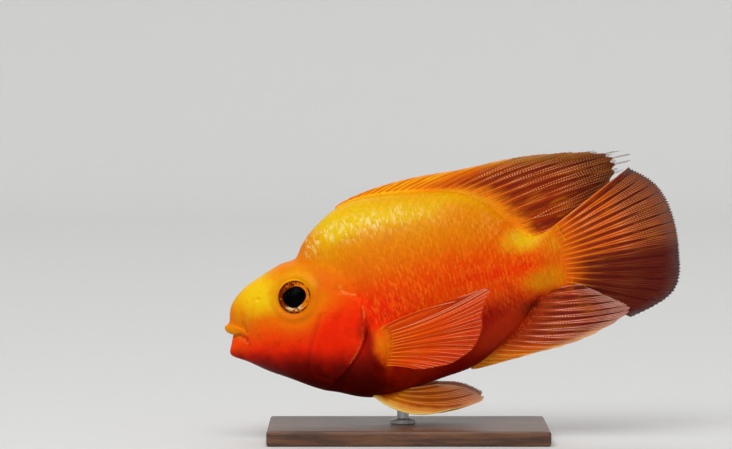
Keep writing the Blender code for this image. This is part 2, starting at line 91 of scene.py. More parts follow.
NAPE_DEPTH, NAPE_WIDTH = 0.75, 2.8
LOBE_AT, LOBE_LONG, LOBE_HIGH, LOBE_RISE, LOBE_LEAN = (59.0, -21.0), 3.8, 8.6, 2.2, 0.1
GILL_STEP, GILL_GROOVE, GILL_LIP = 1.0, 0.45, 0.3
CHEEK_RIDGE = (
    (38.6, -2.6), (36.4, -7.1), (34.0, -11.3), (32.1, -14.9), (31.0, -18.3), (30.4, -22.4),
    (31.4, -26.2), (35.0, -28.4),
)
GILL_TOP = ((48.0, 5.2), (51.5, 4.4), (55.2, 1.0))
LIP_FOLD = ((1.6, -4.1), (5.2, -3.9), (7.5, -5.4), (8.3, -8.6))
SNOUT_FOLD = ((7.6, 1.0), (8.3, -1.2), (8.5, -3.2))
GILL_SHINE = ((49.2, 7.0), (49.0, 5.6), (49.6, 4.4), (51.0, 3.5), (54.0, 2.4))
EDGE_SHINE = ((56.0, -2.6), (55.9, -5.0), (55.6, -7.0))
RIM_SHINE = ((54.0, -11.0), (53.0, -15.0), (49.8, -20.0), (45.8, -24.0))
LIP_SHINE = ((5.0, -5.6), (6.6, -6.4), (7.4, -7.6))


def spline(rows):
    """A natural cubic spline through rows of values at 0, 1, 2 and so on: between two rows the
    straight mix of them plus the cubic terms that keep slope and bend continuous."""
    rows = np.array(rows, float)
    count = len(rows)
    system = np.eye(count)
    right = np.zeros_like(rows)
    for i in range(1, count - 1):
        system[i, i - 1 : i + 2] = (1.0, 4.0, 1.0)
        right[i] = 6.0 * (rows[i + 1] - 2.0 * rows[i] + rows[i - 1])
    bend = np.linalg.solve(system, right)

    def at(u):
        u = np.clip(np.asarray(u, float), 0.0, count - 1.0)
        i = np.minimum(u.astype(int), count - 2)
        b = (u - i)[..., None]
        a = 1.0 - b
        curved = (a**3 - a) * bend[i] + (b**3 - b) * bend[i + 1]
        return a * rows[i] + b * rows[i + 1] + curved / 6.0

    return at


body_line = spline(list(STATIONS.values()))


def body_surface(place, angle):
    """Points (s, y, h) of the body: the ring at a place runs from its back point through the
    flank point to its belly point. With the angle's sine it is swept toward the flank by a
    power of the sine, and its half width follows a power of the cosine."""
    rails = np.moveaxis(body_line(place), -1, 0)
    back_s, back_h, flank_s, flank_y, flank_h, belly_s, belly_h, above, below = rails
    rise, side = np.sin(angle), np.cos(angle)
    up = rise > 0
    end_s = np.where(up, back_s, belly_s)
    end_h = np.where(up, back_h, belly_h)
    pinch = np.where(up, above, below)
    s = flank_s + (end_s - flank_s) * np.abs(rise) ** SWEEP
    h = flank_h + (end_h - flank_h) * np.abs(rise)
    y = flank_y * np.sign(side) * np.abs(side) ** pinch
    return np.stack([s, y, h], axis=-1)


def unit(vectors):
    """Each vector divided by its length."""
    return vectors / np.maximum(np.linalg.norm(vectors, axis=-1, keepdims=True), 1e-9)


def body_axes(place, angle, step=0.012):
    """Point, change with place, change with angle and outward normal of the plain body: central
    differences of body_surface, and their cross product."""
    along = (body_surface(place + step, angle) - body_surface(place - step, angle)) / (2.0 * step)
    around = (body_surface(place, angle + step) - body_surface(place, angle - step)) / (2.0 * step)
    return body_surface(place, angle), along, around, unit(np.cross(around, along))


def ease(value, low, high):
    """0 below low, 1 above high, and 3t^2 - 2t^3 between them."""
    t = np.clip((value - low) / (high - low), 0.0, 1.0)
    return t * t * (3.0 - 2.0 * t)


def bell(value, width):
    """A bell of height 1: e to the minus square of value over width."""
    return np.exp(-((value / width) ** 2))


def from_line(s, h, line):
    """Distance of each (s, h) from a line of straight stretches, seen from the side."""
    nearest = np.full(np.shape(s), 1e3)
    for (s0, h0), (s1, h1) in zip(line, line[1:]):
        ds, dh = s1 - s0, h1 - h0
        t = np.clip(((s - s0) * ds + (h - h0) * dh) / (ds * ds + dh * dh), 0.0, 1.0)
        nearest = np.minimum(nearest, np.hypot(s - s0 - t * ds, h - h0 - t * dh))
    return nearest


def spot_at(s, value, axis=2, angles=(-89.0, 89.0, 357)):
    """The place and angle on the right flank nearest to a distance s and a height, or with axis 1
    a distance to the side: the nearest point of a fine grid."""
    place = np.linspace(PLACES["lip groove"], PLACES["tail root"], 701)[:, None]
    angle = np.radians(np.linspace(*angles))[None, :]
    grid = body_surface(place, angle)
    off = (grid[..., 0] - s) ** 2 + (grid[..., axis] - value) ** 2
    i, j = np.unravel_index(np.argmin(off), off.shape)
    return np.array((place[i, 0], angle[0, j]))


eye_skin, _, _, eye_outward = body_axes(*spot_at(*EYE_AT))
gaze = unit(eye_outward + np.array((0.0, EYE_SIDEWAYS, 0.0)))
eye_centre = eye_skin - gaze * (EYE_DEPTH - EYE_BULGE)


def relief(place, angle, point):
    """Height of the skin over the plain body, along its normal: the sum of the coat's depth, the
    step behind the gill cover, and ridges and grooves that are bells across a line."""
    s, y, h = np.moveaxis(point, -1, 0)
    rise = np.sin(angle)
    behind = place - GILL
    head = (behind < 0.0) & (place > PLACES["lip groove"])
    front = (place > PLACES["inner lip"]) & (place < PLACES["eye"]) & (np.abs(rise) < 0.97)
    edge = (ease(rise, -0.985, -0.9) * (1.0 - 0.6 * ease(rise, -0.4, 0.0))
            * (1.0 - ease(rise, 0.24, 0.4)))
    step = GILL_STEP * (1.0 - ease(behind, 0.0, 2.0)) + GILL_GROOVE * bell(behind, 0.16)
    height = np.where(behind > 0.0, -COAT - step * edge,
                      -HEAD_COAT + GILL_LIP * bell(behind, 0.3) * edge)
    even = -HEAD_COAT - (COAT - HEAD_COAT) * ease(behind, 0.0, 0.8)
    height = np.where((behind > 0.0) & (edge < 1e-3), even, height)
    ridge = from_line(s, h, CHEEK_RIDGE)
    height = height + np.where(head, 0.16 * bell(ridge - 1.9, 1.3) - 0.34 * bell(ridge, 0.8), 0.0)
    for line, depth, width, where in (
        (GILL_TOP, 0.34, 1.1, behind < 0.3), (LIP_FOLD, 0.42, 0.7, front),
        (SNOUT_FOLD, 0.3, 0.6, front),
    ):
        height = height - np.where(where, depth * bell(from_line(s, h, line), width), 0.0)
    across = np.stack([s, np.abs(y), h], axis=-1) - eye_centre
    out = across @ gaze
    from_eye = np.linalg.norm(across - out[..., None] * gaze, axis=-1)
    ring = 0.42 * bell(from_eye - 8.5, 1.1) - 0.16 * bell(from_eye - 10.8, 1.0)
    socket = 1.7 * (1.0 - ease(from_eye, 4.6, 7.7))
    height = height + np.where((np.abs(out) < 9.0) & head, ring - socket, 0.0)
    nape = np.sqrt((s - NAPE_AT[0]) ** 2 + (h - NAPE_AT[1]) ** 2 + (0.5 * y) ** 2)
    height = height - NAPE_DEPTH * bell(nape, NAPE_WIDTH)
    over = h - LOBE_AT[1]
    from_lobe = np.hypot(s - LOBE_AT[0] - LOBE_LEAN * over, over * LOBE_LONG / LOBE_HIGH)
    height = height + np.where(behind > 0.0, LOBE_RISE * bell(from_lobe, LOBE_LONG), 0.0)
    nostril = np.hypot(s - NOSTRIL_AT[0], h - NOSTRIL_AT[1])
    rim = 0.16 * bell(nostril - 1.35, 0.5) - 0.7 * bell(nostril, 0.7)
    return height + np.where(head, rim, 0.0)


def skin_surface(place, angle):
    """Point and outward normal of the finished skin: the body moved along its normal by the
    relief."""
    point, _, _, normal = body_axes(place, angle)
    return point + normal * relief(place, angle, point)[..., None], normal


def set_down(points):
    """The fish's own millimetres as metres of the model: turned nose down by the pitch, then
    moved to the snout's place."""
    s, y, h = np.moveaxis(np.asarray(points, float), -1, 0)
    x = s * math.cos(PITCH) - h * math.sin(PITCH)
    z = s * math.sin(PITCH) + h * math.cos(PITCH)
    return (np.stack([x, y, z], axis=-1) + SNOUT) * MM


def grid_faces(rows, columns, wrap=False):
    """Quads of a grid of points numbered row by row, with the last column joined to the first
    where it wraps."""
    i = np.arange(rows - 1)[:, None]
    j = np.arange(columns if wrap else columns - 1)[None, :]
    k = (j + 1) % columns
    corners = [i * columns + j, i * columns + k, (i + 1) * columns + k, (i + 1) * columns + j]
    return np.stack(np.broadcast_arrays(*corners), axis=-1).reshape(-1, 4)


def closed_tube(grid, front, back):
    """Points and faces of rings joined by quads and fanned to one point at each end."""
    rings, around, _ = grid.shape
    points = np.concatenate([grid.reshape(-1, 3), [front, back]])
    j = np.arange(around)
    k = (j + 1) % around
    start = np.stack([np.full(around, rings * around), k, j], axis=-1)
    last = (rings - 1) * around
    end = np.stack([np.full(around, rings * around + 1), last + j, last + k], axis=-1)
    return points, [grid_faces(rings, around, wrap=True), start, end]


def make_piece(name, points, faces, finish, replaced=(), values=None, sharp=None):
    """A smooth mesh piece from points in metres and blocks of faces, with float values stored at
    its points. It rides on the part's one body and may stand for CAD nodes."""
    mesh = bpy.data.meshes.new(name)
    mesh.from_pydata(points, [], [face for block in faces for face in block.tolist()])
    mesh.shade_smooth()
    if sharp:
        mesh.set_sharp_from_angle(angle=math.radians(sharp))
    for key, value in (values or {}).items():
        attribute = mesh.attributes.new(key, "FLOAT", "POINT")
        attribute.data.foreach_set("value", np.asarray(value, np.float32).reshape(-1))
    mesh.materials.append(finish)
    mesh.update()
    piece = bpy.data.objects.new(name, mesh)
    bpy.context.scene.collection.objects.link(piece)
    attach(piece, "root")
    if replaced:
        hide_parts(*replaced)
    return piece


class Wire:
    """An output of a shader node. Arithmetic on it adds Math nodes."""

    def __init__(self, finish, socket):
        self.finish, self.socket = finish, socket

    def maths(self, operation, *terms):
        """A Math node of the terms, in their order."""
        return self.finish.node("ShaderNodeMath", {"operation": operation}, dict(enumerate(terms)))

    def __add__(self, other):
        return self.maths("ADD", self, other)

    def __sub__(self, other):
        return self.maths("SUBTRACT", self, other)

    def __rsub__(self, other):
        return self.maths("SUBTRACT", other, self)

    def __mul__(self, other):
        return self.maths("MULTIPLY", self, other)

    def __truediv__(self, other):
        return self.maths("DIVIDE", self, other)

    def __pow__(self, other):
        return self.maths("POWER", self, other)

    def bounce(self, top):
        """Up to top and back down to 0, over and over."""
        return self.maths("PINGPONG", self, top)

    def fade(self, low, high):
        """0 at low, 1 at high and smooth between them."""
        return self.finish.node("ShaderNodeMapRange", {"interpolation_type": "SMOOTHSTEP"},
                                {"Value": self, "From Min": low, "From Max": high})

    def coat(self, amount, paint):
        """This colour with so much of a paint over it."""
        return self.finish.mix(amount, self, paint)

    __radd__, __rmul__ = __add__, __mul__


class Finish:
    """A material, written as expressions on its nodes."""

    def __init__(self, name):
        self.material = bpy.data.materials.new(name)
        self.material.use_nodes = True
        self.tree = self.material.node_tree
        self.tree.nodes.clear()
        self.place = self.node("ShaderNodeTexCoord", out="Object")

    def node(self, kind, settings=None, sockets=None, out=0):
        """Adds a node of a type, with its settings first and then its sockets, and returns one
        of its outputs."""
        node = self.tree.nodes.new(kind)
        for key, value in (settings or {}).items():
            setattr(node, key, value)
        for key, value in (sockets or {}).items():
            if isinstance(value, Wire):
                self.tree.links.new(value.socket, node.inputs[key])
            else:
                node.inputs[key].default_value = value
        return Wire(self, node.outputs[out])

    def value(self, name):
        """The float stored under a name at the piece's points."""
        return self.node("ShaderNodeAttribute", {"attribute_name": name}, out="Fac")

    def mix(self, amount, first, second):
        """From one colour to another."""
        return self.node("ShaderNodeMix", {"data_type": "RGBA"},
                         {0: amount, 6: first, 7: second}, out=2)

    def noise(self, scale, detail=2.0, roughness=0.5, vector=None):
        """Soft noise about 0.5, with so many lumps to a metre."""
        return self.node("ShaderNodeTexNoise", None, {
            "Vector": vector or self.place, "Scale": scale, "Detail": detail,
            "Roughness": roughness})

    def bump(self, height, strength, depth):
        """A normal tilted by a height, which is a share of the depth in metres."""
        return self.node("ShaderNodeBump", None, {
            "Height": height, "Strength": strength, "Distance": depth})

    def shell(self, surface):
        """Puts a shader on the material's output."""
        output = self.tree.nodes.new("ShaderNodeOutputMaterial")
        self.tree.links.new(surface.socket, output.inputs["Surface"])
        return self.material

    def solid(self, colour, roughness, bump, sockets):
        """Puts a Principled shader of this colour, roughness and normal on the output."""
        return self.shell(self.node("ShaderNodeBsdfPrincipled", None, {
            "Base Color": colour, "Roughness": roughness, "Normal": bump, **sockets}))


def paint(red, green, blue):
    """A paint named by its screen values from 0 to 255, as linear light."""
    screen = np.array((red, green, blue)) / 255.0
    linear = np.where(screen <= 0.04045, screen / 12.92, ((screen + 0.055) / 1.055) ** 2.4)
    return (*map(float, linear), 1.0)


LEMON = paint(232, 188, 14)
GOLD = paint(226, 154, 4)
AMBER = paint(225, 124, 1)
ORANGE = paint(229, 92, 1)
FLAME = paint(238, 66, 0)
SCARLET = paint(242, 36, 0)
CRIMSON = paint(158, 14, 1)
MAROON = paint(78, 4, 0)
HONEY = paint(206, 96, 1)
RUST = paint(192, 46, 2)
PEARL = paint(250, 232, 156)
APRICOT = paint(255, 150, 20)
SHINE = paint(255, 200, 96)


def fish_place(finish):
    """s, y and h in millimetres from the model's own coordinates: the pitch turned back."""
    x, y, z = (finish.node("ShaderNodeSeparateXYZ", None, {0: finish.place}, out=axis) / MM
               for axis in (0, 1, 2))
    x, z = x - float(SNOUT[0]), z - float(SNOUT[2])
    s = x * math.cos(PITCH) + z * math.sin(PITCH)
    h = z * math.cos(PITCH) - x * math.sin(PITCH)
    return s, y, h


FLANK_PATCHES = (  # centre s and h, two widths, share that is full, lean, strength, paint
    (60, -8, 36, 17, 0.1, 0, 1, SCARLET), (94, 1, 40, 10, 0.1, 0, 1, FLAME),
    (88, -9, 30, 8, 0.1, 0, 0.8, FLAME),
)
# Crimson and maroon over the lower rear flank and belly: partly the fish's own deeper red, partly
# painted shade under the body.
RUMP_PATCHES = (
    (101, -24, 34, 16, 0.3, 0.14, 1, CRIMSON), (101, -30, 26, 9, 0.3, 0.3, 0.2, MAROON),
)
TAIL_LOBE_AND_SHADE_PATCHES = (
    (111, -24, 25, 8, 0.3, 0.38, 0.75, RUST), (70, -33.5, 18, 6, 0.1, -0.05, 0.3, RUST),
    (112, -2.6, 28, 3.4, 0.1, -0.02, 0.75, SCARLET), (126, 8, 15, 7, 0.2, -0.02, 0.8, LEMON),
    (141, -4, 18, 20, 0.35, 0, 1, ORANGE), (129, -10, 14, 7, 0.2, 0, 1, AMBER),
    (139, 4, 11, 8, 0.1, 0, 1, AMBER), (122, -20, 9, 6.5, 0.1, 0, 0.8, MAROON),
    # The crimson patch at s 55 and the maroon one at s 52 are painted shade in the hollow between
    # the gill cover and the pectoral lobe.
    (55, -18, 5, 16, 0.3, 0, 1, CRIMSON), (52, -29, 10, 15, 0.2, 0, 0.9, MAROON),
    (60.2, -21, 5.2, 12, 0.2, 0, 1, ORANGE), (60.8, -19, 2.8, 7.5, 0.1, 0, 0.6, AMBER),
)
FACE_PATCHES = (
    (17, 10.5, 16, 12, 0.2, 0, 1, LEMON), (31, 7.5, 12, 11, 0.62, 0, 0.5, HONEY),
    (46, 14, 14, 12, 0.1, 0, 1, ORANGE), (41, 15, 15, 12, 0.2, 0, 0.6, HONEY),
    (34, 12.5, 10, 8.5, 0.4, 0, 0.8, GOLD), (4, -0.5, 9, 6, 0.3, 0, 0.9, AMBER),
    (2, -1.5, 6, 3.4, 0.3, 0, 0.6, GOLD), (3.5, -8, 8, 6.5, 0.2, 0, 1, FLAME),
    (46, -10, 18, 15, 0.3, 0, 1, SCARLET),
)


def fish_paint(finish):
    """The body's colours as one link: soft patches laid over one another, each where its distance
    from a centre, in its own widths, is under 1."""
    s, _, h = fish_place(finish)
    wander = finish.noise(90.0, 5.0, 0.62) - 0.5
    s = s + wander * 9.0
    h = h + wander * 8.0

    def below(low, high, slope=0.0):
        level = h + s * slope if slope else h
        return 1.0 - level.fade(low, high)

    def lay(colour, patches):
        for s_at, h_at, long, high, full, lean, strength, coat in patches:
            ds = s - s_at
            dh = h - h_at - ds * lean
            reach = ((ds / long) ** 2.0 + (dh / high) ** 2.0) ** 0.5
            colour = colour.coat((1.0 - reach.fade(full, 1.0)) * strength, coat)
        return colour

    colour = finish.mix((h - s * 0.03).fade(-9.0, 10.0), FLAME, ORANGE)
    colour = colour.coat((h - s * 0.02).fade(4.0, 20.0), AMBER)
    over = h - 31.0 + ((s - 72.0) ** 2.0) * 0.0055 - s.fade(84.0, 106.0) * 9.0
    golden = over.fade(-13.0, -2.0) * s.fade(36.0, 50.0)
    colour = colour.coat(golden, GOLD)
    yellow = over.fade(-7.0, -0.5) * s.fade(38.0, 52.0)
    yellow = yellow * (1.0 - (s + over * 3.0).fade(62.0, 104.0))
    colour = lay(colour.coat(yellow, LEMON), FLANK_PATCHES)
    colour = colour.coat(below(-27.0, -12.0), SCARLET)
    # Crimson then maroon toward the belly: partly the fish's own deeper red, partly painted shade
    # under the body.
    colour = lay(colour.coat(below(-36.0, -15.0), CRIMSON), RUMP_PATCHES)
    colour = lay(colour.coat(below(-42.0, -24.0) * 0.64, MAROON), TAIL_LOBE_AND_SHADE_PATCHES)
    face = finish.mix((h + s * 0.2).fade(-6.0, 8.0), FLAME, AMBER)
    face = lay(face.coat(below(-13.0, -2.0, 0.1), SCARLET), FACE_PATCHES)
    # Crimson then maroon toward the throat and lower cheek: partly the fish's own deeper red,
    # partly painted shade under the head.
    face = face.coat(below(-16.0, -4.6, 0.24), CRIMSON)
    face = face.coat(below(-20.5, -7.6, 0.24), MAROON)
    return colour.coat(1.0 - (s + h * 0.3).fade(36.0, 54.0), face)


def fish_finish():
    """Wet painted skin. The same finish is on skin and scales: the scales' own values are 0 on
    the bare skin."""
    finish = Finish("fish_skin")
    s, y, h = fish_place(finish)
    colour = fish_paint(finish)
    along, middle, tone, grown, crease_shade, shine = (
        finish.value(key) for key in ("along", "middle", "tone", "grown", "crease_shade", "shine"))
    speckle = finish.noise(1300.0, 2.0, 0.6)
    mottle = finish.noise(330.0, 4.0, 0.65)
    upright = finish.node("ShaderNodeCombineXYZ", None, {0: s, 1: y * 0.34, 2: h * 0.34})
    hatch = finish.noise(0.95, 3.0, 0.6, upright)
    stroke = along.fade(0.78, 0.88) * (1.0 - along.fade(0.93, 1.0))
    stroke = stroke * middle.fade(0.1, 0.6) * grown
    # Darker front of each scale, where it tucks under the one ahead: painted shade.
    root = (1.0 - along.fade(0.5, 0.72)) * grown
    above, behind = (s + h * 0.9).fade(50.0, 66.0), s.fade(54.0, 60.0)
    body = above + behind - above * behind
    # Brightness: random mottle, speckle and fine hatch, less the painted shade at the scales'
    # roots.
    light = mottle * 0.24 + speckle * 0.2 + 0.8 - root * 0.09 + (hatch - 0.5) * body * 0.26
    colour = finish.node("ShaderNodeVectorMath", {"operation": "SCALE"},
                         {0: colour, "Scale": light})
    # Painted glints: pale cream dashes on the scales in a band under the back, where light catches
    # them.
    below = 30.4 - ((s - 68.0) ** 2.0) * 0.006 - h
    glint_band = below.fade(-4.5, 0.0) * (1.0 - below.fade(1.0, 9.0))
    glint_band = glint_band * (1.0 - s.fade(58.0, 100.0) * 0.9)
    sparkle = (finish.noise(0.6, 3.0, 0.7, upright) + tone * 0.12).fade(0.44, 0.62)
    painted_glints = (hatch.fade(0.46, 0.62) * 0.7 + stroke * 0.6) * sparkle * glint_band
    colour = colour.coat(painted_glints * (s + h * 0.3).fade(41.0, 50.0), PEARL)
    # Painted glints: lighter apricot strokes on the scales' rear edges and fine hatch lines, above
    # the lower flank only.
    edge_glints = hatch.fade(0.5, 0.68) * 0.24 + stroke * (tone * 0.14 + 0.12)
    colour = colour.coat(edge_glints * body * h.fade(-24.0, -4.0), APRICOT)
    freckle = mottle.fade(0.5, 0.66) * (1.0 - body) * h.fade(-12.0, -2.0)
    colour = colour.coat(freckle * 0.25, ORANGE)
    blotch = finish.noise(170.0, 4.0, 0.7).fade(0.54, 0.68)
    colour = colour.coat(blotch * (1.0 - h.fade(-6.0, 6.0)) * 0.2, CRIMSON)
    # Painted shade: deeper crimson along the cheek groove and the lip and snout folds.
    colour = colour.coat(crease_shade * 0.4, CRIMSON)
    colour = colour.coat(shine * speckle.fade(0.35, 0.65) * 0.36, SHINE)
    pores = finish.noise(2200.0, 3.0, 0.55)
    return finish.solid(
        colour, speckle.fade(0.2, 0.8) * 0.14 + 0.36,
        finish.bump(pores + mottle * 0.8, 0.2, 0.0004),
        {"Coat Weight": 0.03, "Coat Roughness": 0.15, "IOR": 1.38, "Specular IOR Level": 0.06,
         "Sheen Weight": 0.03, "Sheen Roughness": 0.2, "Sheen Tint": PEARL,
         "Subsurface Weight": 0.1, "Subsurface Radius": (1.0, 0.3, 0.08),
         "Subsurface Scale": 0.003})


skin_finish = fish_finish()
ring_places = np.concatenate(
    [np.linspace(first, last, count, endpoint=False) for first, last, count in RINGS]
    + [[PLACES["sheath end"]]])
turn = np.arange(AROUND) * 2.0 * np.pi / AROUND
ring_angles = turn - FLANK_CROWD * np.sin(2.0 * turn) / 2.0
skin_grid, _ = skin_surface(ring_places[:, None], ring_angles[None, :])
last_ring = skin_grid[-1].mean(axis=0) * (1.0, 0.0, 1.0)
skin_points, skin_faces = closed_tube(skin_grid, MOUTH_END, last_ring)
seen_s, seen_h = skin_points[:, 0], skin_points[:, 2]
on_face = seen_s < 60.0


def marked(*lines):
    """The strongest of some bells across lines, each with its width and strength."""
    return on_face * np.max([bell(from_line(seen_s, seen_h, line), width) * strength
                             for line, width, strength in lines], axis=0)


# The skin carries two marks: painted shade along its creases, and thin lines of painted highlight.
make_piece("body_skin", set_down(skin_points), skin_faces, skin_finish,
           ("head", "gill_cover_left", "gill_cover_right", "trunk", "tail_stalk"),
           {"crease_shade": marked((CHEEK_RIDGE, 0.7, 0.6), (LIP_FOLD, 0.6, 1.0), (SNOUT_FOLD, 0.5, 0.8)),
            "shine": marked((GILL_SHINE, 0.42, 1.0), (LIP_SHINE, 0.6, 0.7),
                            (EDGE_SHINE, 0.32, 1.0), (RIM_SHINE, 0.4, 0.4))})

# Scales: thin rounded plates in rows along the body, each let into the skin at its front and
# lifted at its rear edge over the next. They are cast with the skin and carry its paint.
SCALE_STEP = 1.6
SCALE_WIDTH = 3.9
SCALE_LIFT = 0.1
SCALE_THICKNESS = 0.12
SCALE_LONG, SCALE_WIDE = 5, 6
SCALE_LENGTH, SCALE_HALF = 2.7, 0.56
MOST_ROWS = 30
PATCH = 0.003
SIDES = (("left", -1.0, np.array((1.0, -1.0, 1.0))), ("right", 1.0, np.array((1.0, 1.0, 1.0))))


def summed(line):
    """The length of a line up to each of its points."""
    return np.concatenate([[0.0], np.cumsum(np.linalg.norm(np.diff(line, axis=0), axis=1))])


def flank_places(first, last, step):
    """Places whose flank points lie a step apart, from the summed length of the flank line."""
    places = np.linspace(first, last, 2001)
    length = summed(body_surface(places, np.zeros_like(places)))
    return np.interp(np.arange(0.0, length[-1], step), length, places)


def scale_spots():
    """Place, angle and width of every scale on the right flank. Columns follow the body's rings.
    In a column the scales lie a width apart round the ring, and every second column is set half
    a width lower."""
    spots = []
    fine = np.linspace(-np.pi / 2.0, np.pi / 2.0, 721)
    columns = flank_places(GILL + 0.5, PLACES["tail sheath"] + 0.8, SCALE_STEP)
    for column, place in enumerate(columns):
        length = summed(body_surface(np.full_like(fine, place), fine))
        length -= np.interp(0.0, fine, length)
        width = SCALE_WIDTH * (1.0 - 0.45 * ease(place, 15.0, 19.5))
        rows = np.arange(-MOST_ROWS, MOST_ROWS + 1) + 0.5 * (column % 2)
        rows = rows[(rows * width > length[0] - 0.1) & (rows * width < length[-1] + 0.1)]
        angle = np.interp(rows * width, length, fine)
        s, _, h = body_surface(place, angle).T
        from_lobe = np.hypot(s - LOBE_AT[0], (h - LOBE_AT[1]) * LOBE_LONG / LOBE_HIGH)
        angle = angle[from_lobe > LOBE_LONG * 1.3]
        spots.append(np.stack(np.broadcast_arrays(place, angle, width), axis=-1))
    return np.concatenate(spots)


def scale_shapes(spots, lift, side, mirror):
    """Closed plates as one mesh. A plate's points are offsets along and across the row, solved for
    place and angle, so that it lies on the skin, and is shortened where the body ends. Its height
    rises from front to rear and falls toward its sides, and its rear edge is a half round."""
    place, angle, width = spots[:, 0], spots[:, 1], spots[:, 2]
    _, along, around, normal = body_axes(place, angle)
    speed = np.linalg.norm(along, axis=-1)
    tail = along / speed[:, None]
    across = np.cross(normal, tail)
    stretch = speed / np.linalg.norm(body_axes(place, 0.0 * angle)[1], axis=-1)
    length = SCALE_STEP * np.clip(stretch, 0.8, 1.5) * SCALE_LENGTH
    p = np.linspace(0.0, 1.0, SCALE_LONG)[:, None]
    q = np.linspace(-1.0, 1.0, SCALE_WIDE)[None, :]
    rear = 0.76 + 0.24 * np.sqrt(np.maximum(1.0 - (0.97 * q) ** 2, 0.0))
    x = (p * rear - 0.5) * length[:, None, None]
    y = (q * (1.0 - 0.12 * (1.0 - p))) * width[:, None, None] * SCALE_HALF
    offset = x[..., None] * tail[:, None, None, :] + y[..., None] * across[:, None, None, :]
    aa = (along * along).sum(-1)[:, None, None]
    ab = (along * around).sum(-1)[:, None, None]
    bb = (around * around).sum(-1)[:, None, None]
    da = (offset * along[:, None, None, :]).sum(-1)
    db = (offset * around[:, None, None, :]).sum(-1)
    det = aa * bb - ab * ab
    back = (da * bb - db * ab) / det
    room = PLACES["sheath end"] - 0.02 - place
    squeeze = np.minimum(room / np.maximum(back.max(axis=(1, 2)), 1e-6), 1.0)[:, None, None]
    u = np.maximum(place[:, None, None] + np.where(back > 0.0, back * squeeze, back), GILL + 0.07)
    v = angle[:, None, None] + np.clip((db * aa - da * ab) / det, -0.6, 0.6)
    ground, outward = skin_surface(u, v)
    height = lift[:, None, None] * ((p - 0.3) * 1.4 - 0.3 * q**4 * (1.0 - 0.5 * p))
    top = ground + outward * height[..., None]
    under = top - outward * (SCALE_THICKNESS * (1.0 - 0.6 * p + 0.0 * q))[..., None]
    points = np.stack([top, under], axis=1).reshape(len(spots), -1, 3) * mirror
    faces = plate_faces(SCALE_LONG, SCALE_WIDE)
    if side < 0:
        faces = faces[:, ::-1]
    each = points.shape[1]
    faces = (faces[None] + (np.arange(len(spots)) * each)[:, None, None]).reshape(-1, 4)
    marks = {}
    for key, value in (("along", p + 0.0 * q), ("middle", 1.0 - q**2 + 0.0 * p)):
        marks[key] = np.tile(np.concatenate([value.reshape(-1)] * 2), len(spots))
    turn = 0.5 + side * (0.25 + angle / (2.0 * np.pi) * 0.5)
    root = np.stack([place / PLACES["sheath end"], turn], axis=-1)
    spread = np.stack(np.broadcast_arrays(p - 0.5, q * 0.5), axis=-1).reshape(-1, 2) * PATCH
    patch = root[:, None, :] + np.concatenate([spread, spread])[None]
    return points.reshape(-1, 3), faces, marks, patch.reshape(-1, 2)


def plate_faces(rows, columns):
    """Quads of a closed plate: its top grid, its under grid turned over, and a rim between."""
    top = grid_faces(rows, columns)[:, ::-1]
    count = rows * columns
    number = np.arange(count).reshape(rows, columns)
    rim = np.concatenate(
        [number[0, :-1], number[:-1, -1], number[-1, :0:-1], number[:0:-1, 0]])
    ahead = np.roll(rim, -1)
    wall = np.stack([rim, ahead, ahead + count, rim + count], axis=-1)
    return np.concatenate([top, top[:, ::-1] + count, wall])


random = np.random.default_rng(7)
spots = scale_spots()
for name, side, mirror in SIDES:
    tone = random.uniform(-1.0, 1.0, len(spots))
    grown = ease(spots[:, 0], GILL + 0.4, GILL + 2.4) * (1.0 - 0.4 * ease(spots[:, 0], 17.5, 20.0))
    lift = SCALE_LIFT * random.uniform(0.8, 1.2, len(spots)) * (0.3 + 0.7 * grown)
    points, faces, marks, patch = scale_shapes(spots, lift, side, mirror)
    each = len(points) // len(spots)
    marks.update(tone=np.repeat(tone, each), grown=np.repeat(grown, each))
    scales = make_piece(f"scales_{name}", set_down(points), [faces], skin_finish,
                        values=marks, sharp=60.0)
    layer = scales.data.uv_layers.new(name="OFBake")
    corners = np.empty(len(scales.data.loops), np.int32)
    scales.data.loops.foreach_get("vertex_index", corners)
    layer.data.foreach_set("uv", patch[corners].astype(np.float32).reshape(-1))

# Eyes: glass eyes set in the head. Each is a painted globe with a gold iris round a slightly
# angular black pupil that bulges, under a clear dome. The ring of skin closes on the dome.
IRIS = (  # radius from the eye's axis and height along it, from the back pole to the pupil
    (0.0, -4.6), (5.0, -3.4), (7.6, -0.8), (7.85, 0.9), (7.3, 2.2), (6.75, 2.95), (6.3, 3.3),
    (6.05, 3.35), (5.8, 3.4), (5.5, 3.3), (5.1, 3.25), (4.8, 3.3), (4.5, 3.3), (4.3, 3.15),
    (4.1, 3.1), (3.7, 3.4), (2.9, 3.8), (1.9, 4.15), (1.0, 4.35), (0.0, 4.4),
)
PUPIL_OUT = 4.45
EYE_TURNS = 72
CORNEA_WALL = 0.14
CORNEA_EDGE = 7.4


